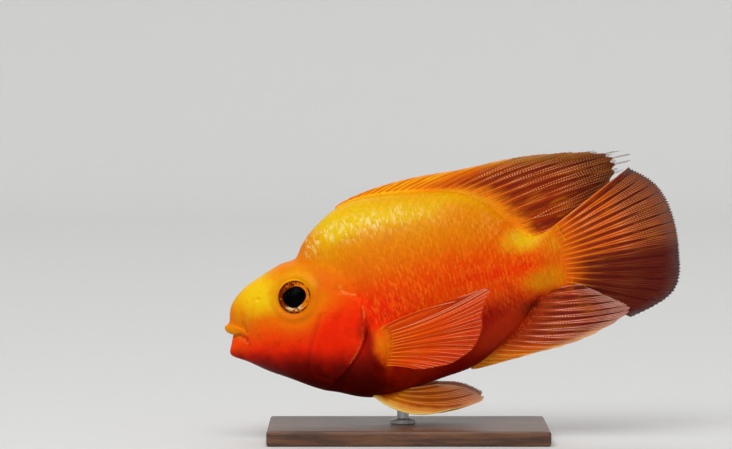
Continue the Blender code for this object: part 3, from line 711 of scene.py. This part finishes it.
def spun(profile, outline=None):
    """A closed surface spun round the gaze, with the radius and the turn of its points. Each point
    of the profile becomes a ring of its radius, times the outline's factor for that direction,
    at its height. The two axes square to the gaze run toward the tail and up."""
    up = unit(np.array((0.0, 0.0, 1.0)) - gaze * gaze[2])
    back = unit(np.cross(gaze, up))
    radius, height = np.array(profile).T
    phi = np.arange(EYE_TURNS) * 2.0 * np.pi / EYE_TURNS
    factor = outline(radius[:, None], phi[None, :]) if outline else np.ones((1, EYE_TURNS))
    around = np.cos(phi)[None, :, None] * back + np.sin(phi)[None, :, None] * up
    out = (radius[:, None] * factor)[..., None] * around
    grid = eye_centre + out + height[:, None, None] * gaze
    points, faces = closed_tube(grid[1:-1], grid[0, 0], grid[-1, 0])
    reach = np.concatenate([np.repeat(radius[1:-1], EYE_TURNS), radius[[0, -1]]])
    return points, faces, reach, np.concatenate([np.tile(phi, len(radius) - 2), [0.0, 0.0]])


def pupil_outline(radius, phi):
    """Wider than high, with two soft corners, near the pupil, and round at the eye's rim."""
    corner = (0.97 + 0.08 * np.cos(2.0 * (phi - 0.25)) + 0.03 * np.cos(3.0 * (phi - 2.6))
              + 0.02 * np.cos(4.0 * (phi + 0.2)))
    return 1.0 + (corner - 1.0) * (1.0 - ease(radius, 4.4, 5.8)) * ease(radius, 1.0, 3.0)


def iris_finish():
    """Painted iris: gold with rust flecks that run outward, a dark rim, silver below, and a black
    pupil, all by the radius stored at its points."""
    finish = Finish("eye_iris")
    radius, turn, low = (finish.value(key) for key in ("radius", "turn", "low"))
    silver = low.fade(0.3, 0.8)
    fleck = finish.noise(800.0, 4.0, 0.65)
    rust = (fleck - turn.maths("COSINE", turn) * 0.14).fade(0.4, 0.58)
    colour = finish.mix(rust, paint(222, 116, 6), paint(104, 26, 4))
    # Pale silver flecks under the pupil: partly the iris's own silver, partly painted glints.
    silver_glint = silver * finish.noise(520.0, 3.0, 0.6).fade(0.46, 0.56)
    colour = colour.coat(silver_glint * (1.0 - radius.fade(5.0, 6.0)), paint(232, 200, 140))
    ring = radius.fade(5.9, 6.1) * (1.0 - radius.fade(6.35, 6.6))
    broken = (finish.noise(260.0, 2.0) - low * 0.12).fade(0.4, 0.5)
    colour = colour.coat(ring * broken, paint(66, 16, 3))
    colour = colour.coat(radius.fade(6.4, 6.8), GOLD)
    pupil = 1.0 - radius.fade(PUPIL_OUT - 0.02, PUPIL_OUT + 0.3)
    colour = colour.coat(pupil, paint(2, 2, 2))
    return finish.solid(colour, 0.3, finish.bump(fleck, 0.3, 0.0003), {
        "Specular IOR Level": 0.02, "Metallic": silver * radius.fade(4.6, 4.8) * 0.3})


def cornea_finish():
    """Clear polished glass: seen through face on, and a mirror toward its edge."""
    finish = Finish("eye_cornea")
    clear = finish.node("ShaderNodeBsdfTransparent")
    gloss = finish.node("ShaderNodeBsdfGlossy", None, {"Roughness": 0.03})
    share = finish.node("ShaderNodeFresnel", None, {"IOR": 1.03})
    return finish.shell(finish.node("ShaderNodeMixShader", None, {0: share, 1: clear, 2: gloss}))


def dome(radius, inset):
    """Height of the glass at a radius: the flattened ball that the socket holds."""
    return (EYE_DEPTH - inset) * np.sqrt(np.maximum(1.0 - (radius / EYE_RADIUS) ** 2, 0.0))


cornea_radius = np.linspace(0.0, CORNEA_EDGE, 16)
cornea_profile = np.concatenate([
    np.stack([cornea_radius, dome(cornea_radius, CORNEA_WALL)], axis=-1),
    np.stack([cornea_radius, dome(cornea_radius, 0.0)], axis=-1)[::-1]])
iris_paint, glass = iris_finish(), cornea_finish()
for name, side, mirror in SIDES:
    turned = slice(None, None, -1) if side > 0 else slice(None)
    points, faces, radius, phi = spun(IRIS, pupil_outline)
    low = ease(-np.sin(phi + 0.2), 0.45, 0.98) * ease(radius, 4.1, 4.4)
    faces = [block[:, turned] for block in faces]
    make_piece(f"eye_{name}_globe", set_down(points * mirror), faces, iris_paint,
               (f"eye_{name}",), {"radius": radius, "turn": phi, "low": low})
    points, faces, _, _ = spun(cornea_profile)
    faces = [block[:, turned] for block in faces]
    make_piece(f"eye_{name}_cornea", set_down(points * mirror), faces, glass)

# Fins: a thin, see-through film stretched over jointed rays that fork two or three times toward
# the margin, with stiff spines in front. On a model they are cast in clear resin and tinted.
FILM = 0.14
INTO = 1.6
SUNK = 0.05


def through(points):
    """A smooth curve from 0 to 1 through points in millimetres."""
    line = spline(points)
    return lambda q: line(np.asarray(q) * (len(points) - 1))


def fan(root, tip, bow, into):
    """A fin's middle surface: from the root at q straight to the tip at q, plus a bow of
    4r(1-r) across that chord. Under r = 0 it goes on into the body."""

    def at(q, r):
        q, r = np.broadcast_arrays(q, r)
        start = root(q)
        chord = tip(q) - start
        lift = np.stack([-chord[..., 2], 0.0 * q, chord[..., 0]], axis=-1)
        out = np.maximum(r, 0.0)[..., None]
        sink = np.maximum(-r, 0.0)[..., None] / SUNK
        bent = (bow(q) if callable(bow) else bow + 0.0 * q)[..., None]
        return start + chord * out + 4.0 * out * (1.0 - out) * bent * lift + into(q) * INTO * sink

    return at


def film_normal(at, q, r):
    """The fin's normal: the cross product of its changes with q and with r."""
    step = 0.004
    inside = np.clip(q, step, 1.0 - step)
    wide = at(inside + step, r) - at(inside - step, r)
    high = at(q, np.maximum(r, 0.0) + step) - at(q, np.maximum(r, 0.0) - step * (r > step))
    return unit(np.cross(wide, high))


def folded(at, rays, folds):
    """The fin's surface pushed a little to one side between one pair of rays and to the other
    side between the next, by the square of a sine of the ray number."""

    def pleated(q, r):
        number = np.asarray(q) * (rays - 1.0)
        push = np.sin(np.pi * number) ** 2 * np.cos(np.pi * np.floor(number))
        push = push * ease(np.asarray(r), 0.05, 0.5)
        return at(q, r) + film_normal(at, q, r) * (folds * push)[..., None]

    return pleated


def film(at, rays, edge, flesh, per_ray=14, rows=44):
    """A closed sheet of film: two grids half a thickness either side of the fin's surface. edge
    gives where it ends, and flesh how thick its root is and how far out that reaches."""
    across = np.linspace(0.0, rays - 1.0, (rays - 1) * per_ray + 1)[:, None]
    r = np.concatenate([[-SUNK, -0.02], np.linspace(0.0, 1.0, rows) ** 1.1])[None, :]
    reach = np.where(r > 0.0, r * edge(across), r)
    q = across / (rays - 1.0)
    middle = at(q, reach)
    normal = film_normal(at, q, reach)
    thick = FILM * (1.0 - 0.55 * ease(reach, 0.6, 1.0))
    thick = thick + flesh[0] * (1.0 - ease(reach, -0.02, flesh[1])) ** 2
    thick = thick * (0.35 + 0.65 * ease(np.minimum(q, 1.0 - q), 0.0, 0.02))
    half = normal * thick[..., None] / 2.0
    points = np.stack([middle + half, middle - half]).reshape(-1, 3)
    values = {"across": np.tile(np.broadcast_to(across, reach.shape).reshape(-1), 2),
              "reach": np.tile(reach.reshape(-1), 2)}
    return points, plate_faces(*reach.shape), values


def rods(path, radius, normal, sides=6):
    """Round rods along paths as one mesh: at each point a ring of the radius stands square to the
    path, and each end is fanned to a point."""
    count, rings, _ = path.shape
    along = unit(np.gradient(path, axis=1))
    across = unit(np.cross(along, normal))
    up = np.cross(across, along)
    phi = np.arange(sides) * 2.0 * np.pi / sides
    ring = np.cos(phi)[:, None] * across[:, :, None, :] + np.sin(phi)[:, None] * up[:, :, None, :]
    grid = path[:, :, None, :] + ring * radius[:, :, None, None]
    out = np.array((-0.5, 0.5))[:, None]
    ends = path[:, [0, -1]] + along[:, [0, -1]] * radius[:, [0, -1], None] * out
    points = np.concatenate([grid.reshape(count, -1, 3), ends], axis=1)
    _, blocks = closed_tube(grid[0], ends[0, 0], ends[0, 1])
    each = rings * sides + 2
    start = (np.arange(count) * each)[:, None, None]
    faces = [(block[None, :, ::-1] + start).reshape(-1, block.shape[1]) for block in blocks]
    return points.reshape(-1, 3), faces, each


SPREAD = (  # how far branches lie from their ray at the end of each level, as a share of a ray gap
    (0.0,), (-0.13, 0.13), (-0.29, -0.1, 0.1, 0.29),
    (-0.41, -0.29, -0.17, -0.06, 0.06, 0.17, 0.29, 0.41),
)
THINNER = (1.0, 0.8, 0.68, 0.6)
RAY_RINGS, BRANCH_RINGS = 34, 20
FORK_BEFORE, FORK_AFTER = 0.02, 0.03


def fin_rays(at, rays, soft, forks, thick, ends):
    """All rays of a fin as one mesh. A ray follows the fin's surface from inside the body. Where
    a soft ray forks, two branches set out from inside each branch before, and spread. ends gives
    how far out a branch goes, from its ray's number and its share of the gap."""
    parts, blocks, values, offset = [], [], {"run": [], "reach": [], "across": []}, 0
    numbers = np.arange(rays, dtype=float)
    forked = (numbers >= soft[0]) & (numbers < soft[1])
    for level in range(len(forks) + 1):
        after = np.array(SPREAD[level])
        before = np.repeat(SPREAD[level - 1], 2) if level else after
        number = numbers if level == 0 else np.repeat(numbers[forked], len(after))
        before, after = (np.resize(spread, len(number)) for spread in (before, after))
        first = forks[level - 1] - FORK_BEFORE if level else -SUNK
        last = forks[level] + FORK_AFTER if level < len(forks) else 1.0
        last = np.where(np.isin(number, numbers[forked]), last, 1.0)
        last = np.where(last >= 1.0, ends(number, after), last)
        rings = BRANCH_RINGS if level else RAY_RINGS
        t = np.linspace(0.0, 1.0, rings)[None, :]
        r = first + (last[:, None] - first) * t
        place = number[:, None] + before[:, None] + (after - before)[:, None] * ease(t, 0.0, 1.0)
        q = np.clip(place / (rays - 1.0), 0.0, 1.0)
        path = at(q, r)
        normal = film_normal(at, q, r)
        stretch = np.linalg.norm(np.diff(path, axis=1, prepend=path[:, :1]), axis=-1)
        run = np.cumsum(stretch, axis=1)
        radius = thick * THINNER[level] * (1.0 - 0.4 * ease(r, 0.0, 1.0) ** 1.3)
        points, faces, each = rods(path, radius, normal)
        parts.append(points)
        blocks += [block + offset for block in faces]
        sides = (each - 2) // rings
        for key, value in (("run", run), ("reach", r), ("across", place)):
            value = np.broadcast_to(value, path.shape[:2])
            flat = np.concatenate([np.repeat(value, sides, axis=1), value[:, [0, -1]]], axis=1)
            values[key].append(flat.reshape(-1))
        offset += len(points)
    return np.concatenate(parts), blocks, {k: np.concatenate(v) for k, v in values.items()}


def film_finish(name, base, middle, outer, margin, clear, turn=(0.05, 0.35), gap=0.55,
                front=None, deep=(98.0, 99.0)):
    """Tinted film: its colour turns from the base's to the middle's over a stretch, and then to the
    outer one's and the margin's, with deeper colour in the gaps between rays and streaks along
    them. Its very root has the body's own paint. clear is how much light passes at the middle and
    at the margin. front gives the ray numbers over which a brighter front ends, its two streaky
    colours, redder near the root, and the colour of its margin. Past the deep rays it darkens."""
    finish = Finish(name)
    across, reach = finish.value("across"), finish.value("reach")
    lengthways = finish.node("ShaderNodeCombineXYZ", None, {0: across, 1: reach * 0.9, 2: 0.3})
    streak = finish.noise(4.5, 4.0, 0.7, lengthways)
    blotch = finish.noise(110.0, 2.0) - 0.5
    root = reach.fade(0.0, turn[1] * 0.4)
    grain = finish.noise(900.0, 3.0, 0.6).fade(0.5, 0.64)
    wander = (blotch * 0.16 + (streak - 0.5) * 0.3) * (1.0 - reach.fade(0.75, 0.95))
    reach = reach + wander
    colour = finish.mix(grain * 0.5, finish.mix(root, fish_paint(finish), base), ORANGE)
    colour = colour.coat(reach.fade(*turn), middle)
    colour = colour.coat(reach.fade(0.4, 0.85), outer)
    gaps = across.bounce(0.5).fade(0.2, 0.42) * reach.fade(turn[0], turn[1] + 0.06)
    colour = colour.coat(gaps * (1.0 - reach.fade(0.88, 1.0)) * gap, MAROON)
    streaks = streak.fade(0.5, 0.66) * reach.fade(turn[0], 0.4)
    colour = colour.coat(streaks * 0.35, AMBER)
    shade = across.fade(*deep) * reach.fade(0.05, 0.3)
    colour = colour.coat(shade * 0.8, MAROON)
    colour = colour.coat(reach.fade(0.88, 1.0), margin)
    opaque = 1.0 - reach.fade(*turn) * clear[0]
    opaque = opaque - reach.fade(0.8, 1.0) * (clear[1] - clear[0])
    if front:
        first, last, bright, deeper, rim = front
        slant = (reach - 0.3) * (last - first) * 0.4
        forward = 1.0 - (across + blotch * 3.0 - slant).fade(first, last)
        ahead = finish.mix(streak.fade(0.42, 0.6) * 0.6, bright, deeper)
        redder = across.fade(first - 2.0, first + 5.0) * (1.0 - reach.fade(0.5, 0.9))
        colour = colour.coat(forward, finish.mix(redder * 0.8, ahead, FLAME))
        along = 1.0 - across.fade(first + 4.0, last + 2.0)
        colour = colour.coat(along * reach.fade(0.78, 0.98), rim)
        opaque = opaque + forward * 0.6
    wrinkle = finish.bump(streak + (across * 8.0).bounce(0.5), 0.35, 0.0004)
    return finish.solid(colour, streak * 0.2 + 0.36, wrinkle,
                        {"Alpha": opaque, "Specular IOR Level": 0.06})


def ray_finish(name, base, middle, tip, joint, pale, spines=(-2.0, -1.0, GOLD), deep=(98.0, 99.0),
               pale_ray=(-9.0, 1.0), lines=0.0):
    """Bony rays: coloured from base to tip, with a pale dash on each joint of about a millimetre.
    Spines in front are plain, rays past the deep ones darken, and one bundle may be paler. lines
    is how much of the joints' colour the outer branches of each ray have."""
    finish = Finish(name)
    run, reach, across = (finish.value(key) for key in ("run", "reach", "across"))
    shift = finish.noise(60.0, 2.0)
    reach = reach + (shift - 0.5) * 0.3
    colour = finish.mix(reach.fade(0.05, 0.4), base, middle)
    colour = colour.coat(reach.fade(0.5, 0.95), tip)
    beat = (run + across * 5.3).bounce(0.55)
    bead = beat.fade(0.28, 0.46) * (1.0 - reach.fade(0.45, 0.95) * 0.6)
    bead = bead * reach.fade(0.16, 0.34)
    soft = across.fade(*spines[:2])
    spine = finish.mix(reach.fade(0.6, 1.0) * 0.5, spines[2], joint)
    colour = colour.coat(1.0 - soft, spine)
    uneven = (shift + finish.noise(25.0, 1.0) * 0.4).fade(0.55, 0.8)
    colour = colour.coat(bead * soft * uneven * pale, joint)
    shade = across.fade(*deep) * reach.fade(0.1, 0.4) * (1.0 - bead * 0.12)
    colour = colour.coat(shade * 0.94, paint(88, 14, 3))
    outer = across.bounce(0.5).fade(0.14, 0.26) * reach.fade(0.25, 0.5)
    colour = colour.coat(outer * lines, joint)
    off = ((across - pale_ray[0]) ** 2.0) ** 0.5
    bundle = (1.0 - off.fade(0.0, pale_ray[1])) * reach.fade(0.1, 0.5)
    colour = colour.coat(bundle * 0.8, joint)
    return finish.solid(colour, 0.4, finish.bump(beat, 0.4, 0.0003), {"Specular IOR Level": 0.08})


def fringe(number, spread):
    """Branches end near the margin, each a little shorter or longer than the next."""
    return 0.99 - 0.02 * np.abs(np.sin(number * 7.3 + spread * 31.0))


def scallop(depth, teeth=4):
    """A fin's edge as a share of its rays: 1 less a depth times a power of the cosine of the ray
    number, with so many teeth to each gap between rays."""
    return lambda across: 1.0 - depth * np.abs(np.cos(np.pi * across * teeth)) ** 0.7


def make_fin(name, at, rays, soft, forks, thick, edge, flesh, finishes, ends=None, folds=0.25):
    """The film piece of a fin, which stands for its CAD node, and the piece of its rays."""
    at = folded(at, rays, folds)
    points, faces, values = film(at, rays, edge, flesh)
    make_piece(name + "_film", set_down(points), [faces], finishes[0], (name,), values)
    points, faces, values = fin_rays(at, rays, soft, forks, thick, ends or fringe)
    make_piece(name + "_rays", set_down(points), faces, finishes[1], values=values)


def midline(s, upper):
    """Height of the back or the belly over a distance s."""
    places = np.linspace(PLACES["lip groove"], PLACES["tail root"], 2001)
    rails = body_line(places)
    column = 0 if upper else 5
    return np.interp(s, rails[:, column], rails[:, column + 1])


# Dorsal fin: fifteen low spines along the back, then eleven long soft rays that trail over the
# tail. Orange yellow in front, and a smoky red brown with pale dotted rays behind.
dorsal_tips = through((
    (59.6, 0.0, 39.1), (69.5, 0.0, 40.9), (81.0, 0.0, 41.7), (93.5, 0.0, 41.5),
    (108.0, 0.3, 40.6), (124.0, 1.2, 40.5), (145.0, 3.0, 38.4), (172.0, 6.2, 32.4),
    (169.0, 6.4, 24.6), (150.0, 3.4, 11.4),
))


def dorsal_root(q):
    """Along the back from behind the nape to the tail stalk."""
    s = 54.0 + 72.5 * q + 4.5 * ease(q, 0.9, 1.0)
    return np.stack([s, 0.0 * s, midline(s, True) + 0.3], axis=-1)


def toward(*direction):
    """The same way into the body all along a root."""
    return lambda q: np.zeros(np.shape(q) + (3,)) + np.array(direction)


def dorsal_edge(across):
    """Nearly whole in front, and cut in between the longest rays."""
    return 0.985 - 0.025 * np.sin(np.pi * across) ** 2 - 0.11 * bell(across - 20.4, 2.1)


def dorsal_ends(number, spread):
    """Up to the film's edge, and in the longest rays one pair of branches trails past it."""
    trailing = 0.12 * bell(number - 20.2, 2.0) * (np.abs(spread) < 0.1)
    return dorsal_edge(number) + trailing + 0.01 * np.sin(number * 7.3 + spread * 31.0)


dorsal_film = film_finish(
    "dorsal_film", paint(236, 130, 4), paint(152, 44, 2), paint(82, 32, 5), paint(154, 84, 50),
    (0.03, 0.16), (0.02, 0.2), 0.55,
    (10.5, 18.0, paint(255, 190, 14), paint(236, 118, 4), paint(255, 152, 96)))
dorsal_rays = ray_finish(
    "dorsal_rays", paint(240, 126, 6), paint(164, 60, 6), paint(98, 50, 18),
    paint(255, 216, 150), 0.9, (12.4, 17.0, paint(230, 104, 6)))
dorsal_shape = fan(dorsal_root, dorsal_tips, lambda q: 0.03 - 0.13 * ease(q, 0.86, 1.0),
                   toward(0.0, 0.0, -1.0))
make_fin("dorsal_fin", dorsal_shape, 26, (15, 25), (0.18, 0.4, 0.72), 0.23, dorsal_edge,
         (1.1, 0.1), (dorsal_film, dorsal_rays), dorsal_ends, 0.16)

# Anal fin: spines then soft rays under the tail stalk, leaning a little to the left. Yellow
# orange at the spines, with pale lilac rays behind.
anal_tips = through((
    (98.0, 0.0, -38.6), (109.0, 0.0, -38.3), (124.0, -0.6, -37.7), (140.0, -2.0, -36.3),
    (158.5, -4.0, -30.4), (156.0, -5.0, -24.4), (143.0, -3.4, -15.0),
))


def anal_root(q):
    """Along the belly from the vent to the tail stalk."""
    s = 92.5 + 36.0 * q + 3.5 * ease(q, 0.85, 1.0)
    return np.stack([s, 0.0 * s, midline(s, False) - 0.3 + 0.9 * ease(q, 0.9, 1.0)], axis=-1)


anal_film = film_finish(
    "anal_film", paint(160, 44, 8), paint(164, 48, 10), paint(124, 52, 32), paint(176, 118, 104),
    (0.06, 0.3), (0.02, 0.2), 0.7,
    (3.0, 8.5, paint(232, 140, 24), paint(182, 76, 8), paint(240, 186, 110)))
anal_rays = ray_finish(
    "anal_rays", paint(176, 70, 14), paint(214, 108, 54), paint(214, 152, 134),
    paint(250, 222, 216), 0.9, (3.0, 8.0, paint(242, 166, 56)))
anal_shape = fan(anal_root, anal_tips, lambda q: -0.03 + 0.05 * ease(q, 0.8, 1.0),
                 toward(0.0, 0.0, 1.0))
make_fin("anal_fin", anal_shape, 16, (7, 15), (0.2, 0.42, 0.72), 0.23,
         lambda across: 0.985 - 0.03 * np.sin(np.pi * across) ** 2, (1.0, 0.1),
         (anal_film, anal_rays), folds=0.2)

# Tail fin: a rounded fan of sixteen rays behind the stalk, orange at its fleshy root, smoky red
# brown beyond, with a grey fringe.
caudal_tips = through((
    (172.2, 0.0, 26.4), (181.0, 0.0, 18.2), (184.9, 0.0, 8.0), (185.6, 0.0, -3.0),
    (184.2, 0.0, -14.5), (178.4, 0.0, -26.6), (160.0, 0.0, -32.6),
))


def caudal_root(q):
    """Down the end of the tail stalk."""
    h = 8.4 - 23.2 * q
    return np.stack([134.3 + 0.0 * h, 0.0 * h, h], axis=-1)


caudal_film = film_finish(
    "caudal_film", ORANGE, paint(180, 60, 6), paint(92, 22, 6), paint(60, 54, 54),
    (0.06, 0.25), (0.08, 0.34), 0.7, deep=(7.0, 9.5))
caudal_rays = ray_finish(
    "caudal_rays", AMBER, paint(226, 108, 18), paint(142, 66, 36), paint(255, 206, 150), 0.6,
    deep=(7.0, 9.5))
caudal_shape = fan(caudal_root, caudal_tips, 0.0, toward(-1.0, 0.0, 0.0))
make_fin("caudal_fin", caudal_shape, 16, (1, 15), (0.24, 0.42, 0.7), 0.37, scallop(0.025),
         (1.2, 0.2), (caudal_film, caudal_rays), folds=0.2)

# Pectoral fins: fans on a fleshy lobe behind the gill covers, spread back along the flanks.
# Clear red orange with fine pinkish rays.
PECTORAL_TIPS = (
    (92.0, 31.0, -8.4), (106.3, 35.0, -5.6), (102.6, 36.0, -12.6), (100.4, 37.0, -20.0),
    (94.5, 36.0, -27.8), (83.0, 33.0, -31.8), (71.0, 28.0, -31.0),
)
pectoral_film = film_finish(
    "pectoral_film", paint(246, 140, 4), paint(236, 74, 2), paint(214, 54, 4),
    paint(214, 66, 18), (0.3, 0.55), (0.02, 0.18), 0.16)
pectoral_rays = ray_finish(
    "pectoral_rays", paint(250, 150, 16), paint(232, 88, 14), paint(220, 66, 16),
    paint(255, 188, 146), 0.65, spines=(0.6, 1.8, paint(244, 96, 30)), pale_ray=(2.2, 1.2),
    lines=0.6)


def seat(first, last, depth, mirror):
    """Two functions of q for a fin set on the body's side: its root, which runs between two spots
    so deep under the skin, and the way into the body there."""

    def under(q):
        spot = first + (last - first) * np.asarray(q)[..., None]
        point, _, _, outward = body_axes(spot[..., 0], spot[..., 1])
        return point, outward

    def root(q):
        point, outward = under(q)
        return (point - outward * depth) * mirror

    return root, lambda q: -under(q)[1] * mirror


def pectoral_bow(q):
    """The uppermost rays arch, the long bundle under them sags, and the rest arch a little."""
    return 0.04 - 0.08 * ease(q, 0.0, 0.17) + 0.07 * ease(q, 0.25, 0.7)


for name, side, mirror in SIDES:
    root, into = seat(spot_at(58.4, -13.4), spot_at(58.0, -28.0), 0.9, mirror)
    shape = fan(root, through(np.array(PECTORAL_TIPS) * mirror), pectoral_bow, into)
    make_fin(f"pectoral_fin_{name}", shape, 14, (1, 13), (0.22, 0.46), 0.2, scallop(0.02),
             (1.4, 0.24), (pectoral_film, pectoral_rays), folds=0.3 * side)

# Pelvic fins: a leading spine and five soft rays under the breast, drawn back to a point. Yellow
# white along the leading edge, orange in the middle and greyish at the tip.
PELVIC_TIPS = (
    (81.0, 13.0, -50.8), (94.5, 13.0, -50.2), (93.0, 11.5, -47.0), (87.5, 10.0, -43.4),
    (78.5, 8.0, -40.6),
)
UNDERSIDE = (-89.0, -20.0, 277)
pelvic_film = film_finish(
    "pelvic_film", AMBER, paint(232, 108, 16), paint(206, 104, 50), paint(176, 140, 124),
    (0.08, 0.35), (0.05, 0.4), 0.3,
    (0.3, 1.5, paint(252, 200, 84), paint(255, 220, 140), paint(240, 204, 160)))
pelvic_rays = ray_finish(
    "pelvic_rays", paint(252, 184, 50), paint(246, 150, 50), paint(222, 160, 124),
    paint(255, 226, 190), 0.4, (0.3, 1.0, paint(255, 222, 120)))
for name, side, mirror in SIDES:
    ends = (spot_at(51.0, 6.0, 1, UNDERSIDE), spot_at(64.0, 4.4, 1, UNDERSIDE))
    root, into = seat(*ends, 1.1, mirror)
    tips = through(np.array(PELVIC_TIPS) * mirror)
    shape = fan(root, tips, lambda q: -0.15 * (1.0 - 0.9 * q), into)
    make_fin(f"pelvic_fin_{name}", shape, 6, (1, 5), (0.22, 0.45, 0.7), 0.36, scallop(0.03),
             (1.4, 0.3), (pelvic_film, pelvic_rays), folds=0.3)

# Stand: an oiled walnut block with softened edges, and a satin steel rod that stands in a
# collar on it and goes into the belly between the pelvic fins.


def wood_finish():
    """Dark oiled walnut: long wavy grain from noise stretched along X, with fine pores."""
    finish = Finish("stand_walnut")
    stretched = finish.node("ShaderNodeMapping", None,
                            {"Vector": finish.place, "Scale": (0.09, 1.0, 1.0)})
    grain = finish.noise(150.0, 4.0, 0.6, stretched)
    fine = finish.noise(1500.0, 2.0, 0.7, stretched)
    colour = finish.mix((grain * 9.0).bounce(1.0), paint(66, 38, 22), paint(108, 66, 38))
    colour = colour.coat(fine.fade(0.56, 0.72) * 0.6, paint(38, 22, 14))
    return finish.solid(colour, fine * 0.25 + 0.28, finish.bump(fine, 0.25, 0.0004),
                        {"Coat Weight": 0.15, "Coat Roughness": 0.25})


def steel_finish():
    """Satin steel: fine turning marks round the rod."""
    finish = Finish("stand_steel")
    squeezed = finish.node("ShaderNodeMapping", None,
                           {"Vector": finish.place, "Scale": (0.05, 0.05, 1.0)})
    marks = finish.noise(9000.0, 2.0, 0.6, squeezed)
    colour = finish.mix(marks, paint(176, 176, 180), paint(206, 206, 208))
    return finish.solid(colour, marks * 0.2 + 0.2, finish.bump(marks, 0.15, 0.0001),
                        {"Metallic": 1.0})


for node, finish in (("stand_base", wood_finish()), ("stand_rod", steel_finish())):
    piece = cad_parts[node]
    piece.data.materials.clear()
    piece.data.materials.append(finish)

# Studio: a pale floor that curves up into a low wall all round, one soft square light, two wide
# suns for the sky, and a camera level with the fish, looking across its left side.
FLOOR_RADIUS, WALL_RUN, WALL_HEIGHT, FLOOR_TURNS = 2.2, 0.8, 1.6, 96
curve = np.linspace(0.1, 1.57, 12)
floor_radius = np.concatenate([[0.02], np.linspace(0.3, FLOOR_RADIUS, 8),
                               FLOOR_RADIUS + WALL_RUN * np.sin(curve)])
floor_height = np.concatenate([np.zeros(9), WALL_HEIGHT * (1.0 - np.cos(curve))])
floor_turn = np.arange(FLOOR_TURNS) * 2.0 * np.pi / FLOOR_TURNS
floor_grid = np.stack(np.broadcast_arrays(
    floor_radius[:, None] * np.cos(floor_turn), floor_radius[:, None] * np.sin(floor_turn),
    floor_height[:, None]), axis=-1)
floor_points = np.concatenate([floor_grid.reshape(-1, 3), [(0.0, 0.0, 0.0)]])
number = np.arange(FLOOR_TURNS)
centre = np.stack([np.full(FLOOR_TURNS, len(floor_points) - 1), number,
                   (number + 1) % FLOOR_TURNS], axis=-1)
floor_faces = grid_faces(len(floor_radius), FLOOR_TURNS, wrap=True)[:, ::-1]
floor_mesh = bpy.data.meshes.new("studio_floor")
floor_mesh.from_pydata(floor_points, [], floor_faces.tolist() + centre.tolist())
floor_mesh.shade_smooth()
floor_finish = Finish("studio_floor")
floor_mesh.materials.append(floor_finish.shell(floor_finish.node("ShaderNodeBsdfPrincipled", None, {
    "Base Color": (0.64, 0.635, 0.62, 1.0), "Roughness": 0.75})))
floor = bpy.data.objects.new("studio_floor", floor_mesh)
bpy.context.scene.collection.objects.link(floor)

MIDDLE = Vector((-0.0348, 0.0, 0.0859))
KEY_AT, KEY_SIZE = Vector((-0.35, -0.9, 0.9)), 0.5
SUN_WIDTH = math.radians(50.0)
for name, kind, power, direction in (
    ("key", "AREA", 3.8, MIDDLE - KEY_AT), ("sky", "SUN", 1.6, Vector((0.1, 0.5, -0.86))),
    ("back_sky", "SUN", 0.6, Vector((0.1, -0.7, -0.7))),
):
    data = bpy.data.lights.new(name, kind)
    data.energy = power
    light = bpy.data.objects.new(name, data)
    light.rotation_euler = direction.to_track_quat("-Z", "Y").to_euler()
    if kind == "AREA":
        data.size = KEY_SIZE
        light.location = KEY_AT
    else:
        data.angle = SUN_WIDTH
    bpy.context.scene.collection.objects.link(light)
world = bpy.data.worlds.new("studio")
bpy.context.scene.world = world
world.use_nodes = True
world.node_tree.nodes["Background"].inputs["Color"].default_value = (0.94, 0.97, 1.0, 1.0)
world.node_tree.nodes["Background"].inputs["Strength"].default_value = 0.42

CAMERA_DISTANCE, CAMERA_RISE, VIEW_WIDTH, SENSOR = 1.5, math.radians(2.5), 0.2928, 36.0
lens = bpy.data.cameras.new("camera")
lens.sensor_width = SENSOR
lens.lens = SENSOR * CAMERA_DISTANCE / VIEW_WIDTH
camera = bpy.data.objects.new("camera", lens)
outward = Vector((0.0, -math.cos(CAMERA_RISE), math.sin(CAMERA_RISE)))
camera.location = MIDDLE + outward * CAMERA_DISTANCE
camera.rotation_euler = (math.pi / 2.0 - CAMERA_RISE, 0.0, 0.0)
bpy.context.scene.collection.objects.link(camera)
bpy.context.scene.camera = camera
bpy.context.scene.view_settings.view_transform = "Standard"
